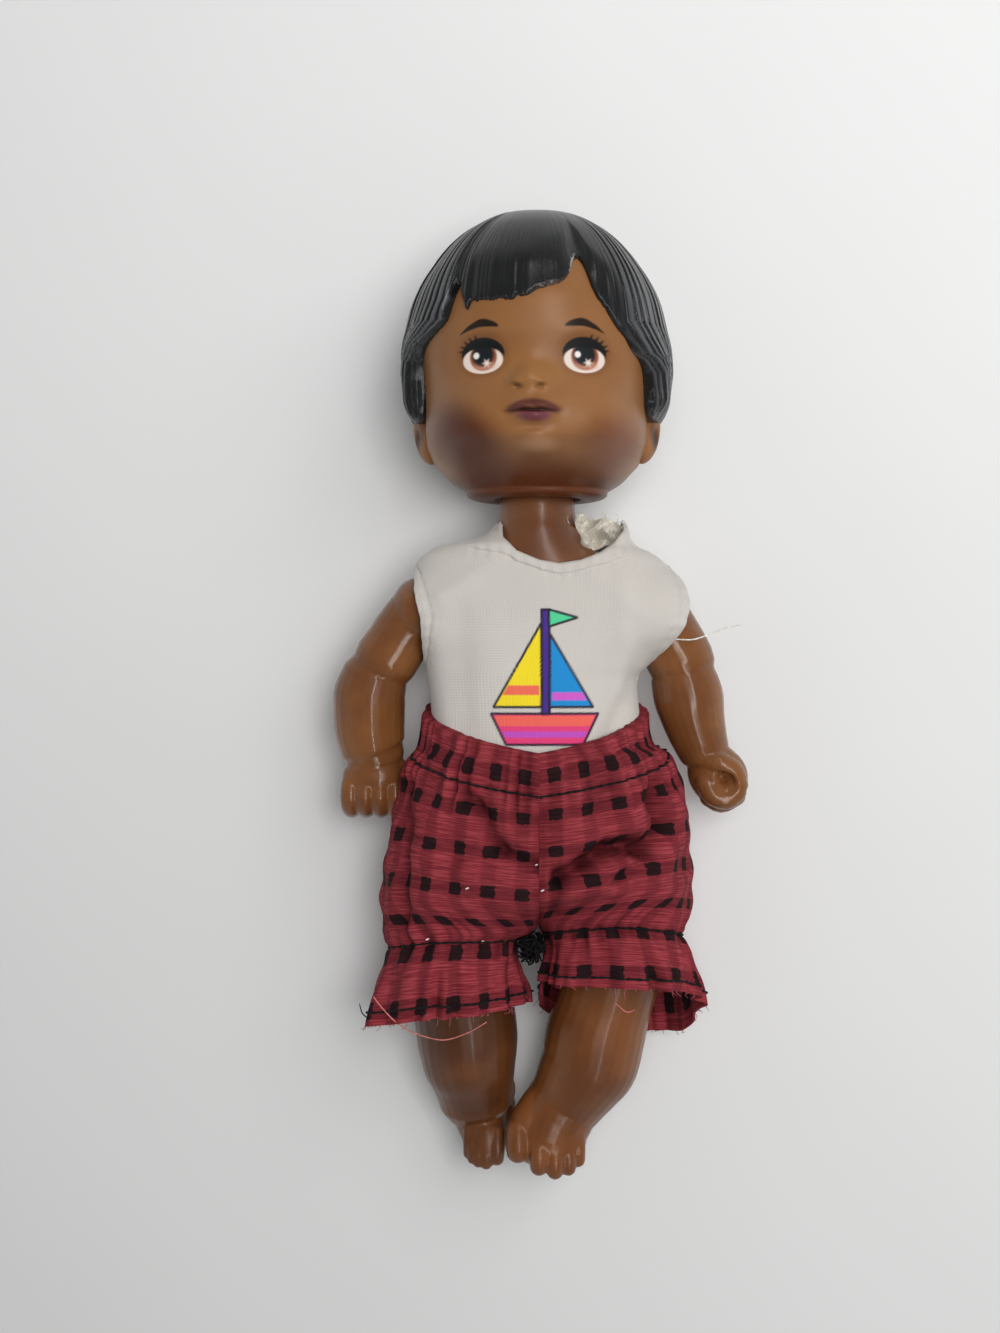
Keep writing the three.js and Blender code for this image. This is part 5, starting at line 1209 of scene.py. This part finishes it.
def shorts_panel(side, outline, cuff, hem, folds, seed):
    """Outer face of a panel on a grid from inside the casing, over the fold at the waist, down to the hem,
    with its places on the flat cloth, its painted shade in the creases, gathers and seams, and the rows of
    its waist, cuff and hem stitching."""
    u = np.linspace(0, 1, PANEL_COLUMNS)[None]
    up, across = squared(np.pi * u, SEAT_FULLNESS)
    dip = 0.5 * up + 0.5 * np.sign(up) * (1 - np.abs(across))
    waist = WAIST_Y - WAIST_SLOPE * WAIST_HALF_DEPTH * dip
    cuff_y, hem_y = follow(*cuff, u), follow(*hem, u)
    fold = np.linspace(0, np.pi, 10)
    drop = np.r_[np.linspace(4.4, 0.6, 9), 0.5 - 0.5 * np.sin(fold), np.linspace(0.7, CASING, 26)]
    inset = np.r_[np.full(9, CASING_INSET), CASING_INSET / 2 * (1 + np.cos(fold)), np.zeros(26)]
    body_share = np.linspace(0, 1, BODY_ROWS + 1)[1:, None]
    ruffle_share = np.linspace(0, 1, RUFFLE_ROWS + 1)[1:, None]
    stitch_y = waist - CASING
    body_y = stitch_y + (cuff_y - stitch_y) * body_share
    y = np.vstack([waist - drop[:, None], body_y, cuff_y + (hem_y - cuff_y) * ruffle_share])
    stitch_rows = [len(drop) - 1, len(drop) + BODY_ROWS - 1, len(y) - HEM_ROWS]
    inset = np.r_[inset, np.zeros(BODY_ROWS + RUFFLE_ROWS)][:, None]
    u = np.broadcast_to(u, y.shape)
    low_y = y - (cuff_y - CUFF_Y) * ease((4 - y) / 10)
    below, above = stitch_y - y, low_y - CUFF_Y
    skirt = ease((cuff_y - y) / (cuff_y - hem_y))
    at_waist = np.where(below < 0, 0.75 + 0.25 * hill(below, 1.2), 1.2 * hill(below, 3.2))
    waist_gathers = ripple(u, WAIST_GATHERS, seed) * at_waist
    cuff_gathers = ripple(u, CUFF_GATHERS, seed + 1) * hill(above, 2.6) * (1 - skirt)
    seam = hill(u * PANEL_WIDTH, SEAM_REACH) + hill((1 - u) * PANEL_WIDTH, SEAM_REACH)
    out = 0.36 * waist_gathers * (1 - 0.4 * inset / CASING_INSET) + 0.34 * cuff_gathers
    out = out + (0.95 * ripple(u, 7, seed + 2) + 0.3 * ripple(u, 15, seed + 3)) * skirt
    out = out - 0.35 * hill(above, 0.35) - 0.25 * hill(below, 0.35) * (inset == 0)
    out = out - 0.9 * seam * ease(above / 3) * ease((below + 0.4) / 1.5)
    plain = shorts_place(u, y, low_y, outline, out - inset)
    facing = ease((plain[..., 2] - AXIS_Z) / 3) * ease((below + 0.5) / 2) * ease((above - 0.5) / 2)
    creases = along_lines(side * plain[..., 0], y, folds) * facing
    # Painted shade: darker in the creases of the folds, in the gathers and along the seams.
    shade = 1.06 - 0.55 * ease(-creases / 1.7) - 0.36 * ease(-(waist_gathers + cuff_gathers) / 1.1)
    shade = np.clip(shade - 0.2 * seam * (inset == 0), 0.3, 1.1)
    crumple = np.sin(y * 0.9 + 9 * u + seed) * np.sin(u * 31 - 0.35 * y) * ease(below / 3) * (1 - skirt)
    grid = shorts_place(u, y, low_y, outline, out + creases + 0.3 * crumple - inset)
    grid[..., 0] *= side
    length = np.cumsum(np.r_[0, np.linalg.norm(np.diff(grid, axis=0), axis=2).mean(1)])
    flat = np.stack([u * PANEL_WIDTH, np.broadcast_to(length[:, None], u.shape)], -1)
    return grid, flat, shade, stitch_rows


# The check: pitch and width of the bands down the cloth and across it.
DOWN_PITCH, DOWN_WIDTH = 3.2, 1.45
OVER_PITCH, OVER_WIDTH = 5.8, 1.95


def check_finish():
    """Red cotton with a woven check: faint darker bands both ways and a dark square at each crossing, on a
    plain weave with slubs along the rows, with painted shade in its creases, gathers and seams."""
    material, tree, shader = new_finish("checked_cotton", Roughness=0.9, Specular_IOR_Level=0.2)
    flat = flat_place(tree)
    rough = put(tree, "ShaderNodeTexNoise", {"Vector": flat, "Scale": 1.4, "Detail": 3.0}).outputs["Color"]
    wobble = vectors(tree, "MULTIPLY", vectors(tree, "SUBTRACT", rough, (0.5, 0.5, 0.5)), (0.6, 0.6, 0.6))
    place = put(tree, "ShaderNodeSeparateXYZ", {0: vectors(tree, "ADD", flat, wobble)})

    def band(coordinate, pitch, width):
        share = calc(tree, "FRACT", calc(tree, "DIVIDE", coordinate, pitch))
        middle = calc(tree, "MULTIPLY", calc(tree, "ABSOLUTE", calc(tree, "SUBTRACT", share, 0.5)), pitch)
        return calc(tree, "SUBTRACT", 1.0, fade(tree, middle, width / 2 - 0.35, width / 2 + 0.25))

    down = band(place.outputs[0], DOWN_PITCH, DOWN_WIDTH)
    over = band(place.outputs[1], OVER_PITCH, OVER_WIDTH)
    square = fade(tree, calc(tree, "MULTIPLY", down, over), 0.3, 0.65)
    bands = calc(tree, "MAXIMUM", calc(tree, "MULTIPLY", down, 0.42), calc(tree, "MULTIPLY", over, 0.52))
    slubs = streaks(tree, 0.35, 5.5, 4.0)
    red = blended(tree, fade(tree, slubs, 0.35, 0.7), opaque("74242c"), opaque("a5444b"))
    red = blended(tree, bands, red, opaque("50151e"))
    ink = blended(tree, fade(tree, slubs, 0.3, 0.75), opaque("120c0d"), opaque("22171a"))
    dyed = blended(tree, calc(tree, "MULTIPLY", square, 0.95), red, ink)
    # The painted shade on the points darkens the check in creases, gathers and seams.
    coloured(tree, shader, vectors(tree, "MULTIPLY", dyed, own_paint(tree)))
    weave = calc(tree, "MULTIPLY", calc(tree, "MULTIPLY", *threads_both_ways(tree, 0.3, 0.26)), 0.5)
    raised(tree, shader, calc(tree, "ADD", weave, slubs), 0.07, 0.6)
    return material


check = check_finish()
# Cuff and hem heights along each panel, from the front seam over the outside to the back seam.
LEFT_CUFF = ([0, 0.25, 0.5, 0.75, 1], [-8.8, -7.2, -9, -10.3, -9.4])
RIGHT_CUFF = ([0, 0.25, 0.5, 0.75, 1], [-9.3, -8.8, -10.4, -10.8, -9.5])
LEFT_HEM = ([0, 0.25, 0.38, 0.5, 0.62, 0.75, 1], [-14.2, -13.9, -14.7, -17.6, -21.6, -22.2, -16])
RIGHT_HEM = ([0, 0.25, 0.5, 0.75, 1], [-16.6, -17.3, -19.4, -18.6, -17])
# Rows and columns that face the front, by which a panel's normals are turned out.
FRONT_ROWS, FRONT_COLUMNS = slice(46, 100), slice(35, 115)
sewn = {}
for name, body, side, outline, cuff, hem, folds, seed in (
    ("shorts_left", "left_leg", 1, LEFT_OUTLINE, LEFT_CUFF, LEFT_HEM, LEFT_FOLDS, 11),
    ("shorts_right", "right_leg", -1, RIGHT_OUTLINE, RIGHT_CUFF, RIGHT_HEM, RIGHT_FOLDS, 23),
):
    grid, flat, shade, stitch_rows = shorts_panel(side, outline, cuff, hem, folds, seed)
    normal = grid_normals(grid)
    normal *= np.sign(normal[FRONT_ROWS, FRONT_COLUMNS, 2].sum())
    cloth = two_layers(grid, grid - normal * COTTON_THICK)
    uv = np.tile(flat.reshape(-1, 2), (2, 1))
    paint = np.tile(shade.reshape(-1, 1), (2, 3))
    panel = add_piece(name, cloth, check, uv=uv, paint=paint)
    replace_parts(panel, name + "_panel")
    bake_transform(panel)
    sewn[name] = (body, grid, normal, stitch_rows)

# Elastics
# A flat white elastic in the waist casing and a narrow one in each cuff. They are hidden, and show only by
# the gathers.


def band_finish():
    """Braided elastic: white with fine ribs along it."""
    material, tree, shader = new_finish("braided_elastic", Roughness=0.75)
    inputs = {"Vector": own_place(tree), "Scale": 1 / (4 * MM)}
    rib = put(tree, "ShaderNodeTexWave", inputs, bands_direction="Y").outputs["Fac"]
    coloured(tree, shader, blended(tree, rib, opaque("b9b2a4"), opaque("cfc9bc")))
    raised(tree, shader, rib, 0.08, 0.5)
    return material


elastic = band_finish()
ELASTIC_HALF_THICK = 0.2
ELASTIC_ROWS, ELASTIC_COLUMNS = 8, 120


def elastic_band(centre_x, wide, deep, low, high, slope):
    """Oval band: two layers between a lower and an upper edge, tilted by a slope towards the front."""
    turns = np.linspace(0, 2 * np.pi, ELASTIC_COLUMNS, endpoint=False)
    turn, rise = np.meshgrid(turns, np.linspace(low, high, ELASTIC_ROWS))
    layers = []
    for out in (ELASTIC_HALF_THICK, -ELASTIC_HALF_THICK):
        z = (deep + out) * power(np.cos(turn), 0.9)
        dip = 0.5 * z + 0.5 * deep * np.sign(np.cos(turn)) * (1 - np.abs(np.sin(turn)))
        layers.append(np.stack([centre_x + (wide + out) * np.sin(turn), rise - slope * dip, AXIS_Z + z], -1))
    return two_layers(*layers, True)


for name, body, shape in (
    ("waist_elastic", "torso", (0, 12.4, 10.3, WAIST_Y - 4.1, WAIST_Y - 0.9, WAIST_SLOPE)),
    ("left_cuff_elastic", "left_leg", (9.15, 7, 6.8, CUFF_Y + 0.1, CUFF_Y + 1.5, -0.13)),
    ("right_cuff_elastic", "right_leg", (-9.95, 6.5, 6.8, CUFF_Y - 0.8, CUFF_Y + 0.6, -0.1)),
):
    stand_in(add_piece(name + "_band", elastic_band(*shape), elastic), body, name)

# Stitching and loose threads
# Black topstitching under the waist casing, along each cuff and above each hem, and the frayed ends and loose
# threads that stand out of the raw edges.


def thread_finish(name, code, sheen=0.3):
    """Spun thread: one colour in slightly lighter and darker turns."""
    material, tree, shader = new_finish(name, Roughness=0.9, Sheen_Weight=sheen)
    light = (*np.minimum(tint(code) * 1.6 + 0.002, 1), 1)
    coloured(tree, shader, blended(tree, fade(tree, cloudy(tree, 0.4, 2), 0.35, 0.65), opaque(code), light))
    return material


STITCH_PITCH = 1.1
STITCH_RADIUS = 0.17
STITCH_LIFT = 0.1


def stitched(path):
    """A run of stitches: a thread along a path, thick and thin by turns, one stitch to each pitch."""
    size = STITCH_RADIUS * (0.8 + 0.28 * np.cos(2 * np.pi * reach_along(path) / STITCH_PITCH))
    return thread(path, size, upright=(0.2, 1, 0.1))


black_thread = thread_finish("black_thread", "0a090b", 0)
FRAYED_ENDS = 34
for name, (body, grid, normal, stitch_rows) in sewn.items():
    runs = [stitched((grid[row] + STITCH_LIFT * normal[row])[1:-1:2]) for row in stitch_rows]
    seam = add_piece(name + "_stitching", joined(runs), black_thread)
    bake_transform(seam)
    draw = np.random.default_rng(len(runs[0][0]))
    ends = []
    for column in draw.choice(np.arange(6, grid.shape[1] - 6), FRAYED_ENDS, replace=False):
        down = unit(grid[-1, column] - grid[-4, column])
        stray = grid[-1, column] + np.outer([-0.1, 0.15, 0.4], down) * draw.uniform(0.3, 1.3)
        stray = stray + draw.normal(0, 0.3, (3, 3)) * [[0], [0.5], [1]]
        ends.append(thread(stray, [0.05, 0.045, 0.03], 4, 2, (1, 0.1, 0.2)))
    frayed = thread_finish(name + "_fray_thread", "8f3a44")
    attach(add_piece(name + "_fray", joined(ends), frayed), body)

# A knot of black thread hangs where the inseams meet, packed so densely that it also stands in for the shade
# in the gap between the legs, and lint clings to the cloth.
TANGLE = 110
tangle = []
for _ in range(TANGLE):
    start = rng.uniform([-2, -11.2, 11.6], [0.7, -9.2, 15])
    walk = start + np.cumsum(rng.normal(0, 0.42, (4, 3)), 0)
    tangle.append(thread(walk, [0.12, 0.16, 0.14, 0.07], 5, 2.5, (0.3, 0.2, 1)))
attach(add_piece("inseam_threads_and_gap_shade", joined(tangle), black_thread), "torso")
LINT = {
    "shorts_left": [(0.3, -2.5)],
    "shorts_right": [(-0.3, 0.3), (-8.2, -2.3), (-6.5, -8.8), (-12.8, -8.6)],
}
for name, (body, grid, normal, _) in sewn.items():
    bits = []
    for x, y in LINT[name]:
        away = np.hypot(grid[..., 0] - x, grid[..., 1] - y) + np.where(grid[..., 2] < AXIS_Z, np.inf, 0)
        at = np.unravel_index(away.argmin(), away.shape)
        spot = grid[at] + STITCH_LIFT * normal[at]
        bits.append(thread([spot, spot + [0.25, 0.1, 0.05]], [0.1, 0.07], per_mm=4))
    fluff = thread_finish(name + "_lint_fluff", "e4e0da")
    piece = add_piece(name + "_lint", joined(bits), fluff)
    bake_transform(piece)

pink_thread = thread_finish("pink_thread", "b9665e")
# Loose threads of the hems: places along each, and its radius there.
for name, body, finish, path, radii in (
    ("loose_pink_thread", "right_leg", pink_thread, [
        (-18.9, -15.2, 19), (-17.9, -16.4, 19.3), (-16.2, -18.2, 18.9), (-13.8, -19.9, 16.9),
        (-11, -20.7, 15.9), (-8.4, -20, 15.8), (-6, -18.6, 16.2),
    ], [0.075] * 7),
    ("short_pink_thread", "left_leg", pink_thread, [
        (9, -16.3, 16.7), (10.5, -17.4, 16.2), (12.5, -16.6, 14.6),
    ], [0.075] * 3),
    ("loose_black_thread", "right_leg", black_thread, [
        (-20.8, -16.6, 15.4), (-20.5, -17.6, 15.5), (-19.5, -18.5, 15.6),
    ], [0.06, 0.07, 0.07]),
):
    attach(add_piece(name, thread(path, radii), finish), body)
# A white thread stands out of the left armhole.
path = [(15.6, 26, 15.8), (17.6, 25.9, 16.6), (19.6, 26.4, 16.4), (21.6, 27.2, 16.2), (23.6, 27.7, 16)]
white_thread = thread_finish("white_thread", "d8d4cb")
piece = add_piece("loose_white_thread", thread(path, [0.09, 0.09, 0.09, 0.08, 0.07]), white_thread)
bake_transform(piece)

# Floor, light and camera
# A pale matt table top under a ceiling lamp, with a softer lamp beyond the doll's left shoulder and a tube
# lamp that shows in reflections only. The surround is bright low down and darker overhead. The camera looks
# straight down.

FLOOR_SIZE = 3
FLOOR_COLOUR = "e0e1e1"
bpy.ops.mesh.primitive_plane_add(size=FLOOR_SIZE, location=(0, 0, 0))
floor = bpy.context.object
floor.name = "table_top"
material, tree, shader = new_finish("table_paint", Roughness=0.6)
# Painted light and shade: the table's colour is paler towards the far right corner and darker towards the
# opposite one, as the light falls more from the right.
PALER_WAY = np.array([1.15, 1.4, 0])
PALER_REACH = 0.25
middle = float(to_frame((-4.4, 25.8, 0)) @ PALER_WAY)
inputs = {0: own_place(tree), 1: tuple(PALER_WAY)}
across = put(tree, "ShaderNodeVectorMath", inputs, operation="DOT_PRODUCT").outputs["Value"]
paler = ranged(tree, across, 0.81, 1.31, middle - PALER_REACH, middle + PALER_REACH)
# Painted light and shade across the table, with a faint random tone.
shade = calc(tree, "MULTIPLY", ranged(tree, cloudy(tree, 60), 0.97, 1.03), paler)
coloured(tree, shader, vectors(tree, "MULTIPLY", tuple(tint(FLOOR_COLOUR)), shade))
floor.data.materials.append(material)
floor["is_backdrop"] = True

scene = bpy.context.scene
scene.view_settings.view_transform = "Standard"
world = bpy.data.worlds.new("surround")
scene.world = world
world.use_nodes = True
tree = world.node_tree
way = put(tree, "ShaderNodeTexCoord").outputs["Generated"]
height = put(tree, "ShaderNodeSeparateXYZ", {0: way}).outputs[2]
background = tree.nodes["Background"]
inputs = {"Value": height, "From Min": 0.15, "From Max": 0.65, "To Min": 0.54, "To Max": 0.16}
ramp = put(tree, "ShaderNodeMapRange", inputs, interpolation_type="SMOOTHSTEP").outputs[0]
tree.links.new(ramp, background.inputs["Strength"])
background.inputs["Color"].default_value = (0.98, 0.99, 1, 1)

LAMP_AIM = (0, 20, 10)


def lamp(name, place, size, power_watts, colour=(1, 1, 1), mirrored=True, scattered=True):
    """A rectangular soft lamp at a place, in millimetres from the hips, turned to the doll's chest."""
    data = bpy.data.lights.new(name, "AREA")
    data.shape = "RECTANGLE"
    data.size, data.size_y = size[0] * MM, size[1] * MM
    data.energy = power_watts
    data.color = colour
    made = bpy.data.objects.new(name, data)
    made.location = to_frame(place)
    way = Vector(to_frame(LAMP_AIM) - to_frame(place))
    made.rotation_euler = way.to_track_quat("-Z", "Y").to_euler()
    made.visible_glossy = mirrored
    made.visible_diffuse = scattered
    bpy.context.collection.objects.link(made)


lamp("ceiling_lamp", (80, 60, 640), (320, 320), 2.35, (1, 0.99, 0.98), mirrored=False)
lamp("soft_lamp", (290, 260, 480), (420, 420), 1.05, (1, 0.985, 0.96), mirrored=False)
lamp("tube_lamp", (110, 20, 460), (900, 26), 0.95, scattered=False)

CAMERA_AT = (-4.4, 22.8, 240)
SENSOR_WIDTH = 36
LENS = 69.26
camera_data = bpy.data.cameras.new("camera")
camera_data.sensor_fit = "HORIZONTAL"
camera_data.sensor_width = SENSOR_WIDTH
camera_data.lens = LENS
camera_data.clip_start = 0.01
camera = bpy.data.objects.new("camera", camera_data)
camera.location = to_frame(CAMERA_AT)
bpy.context.collection.objects.link(camera)
scene.camera = camera

low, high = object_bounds()
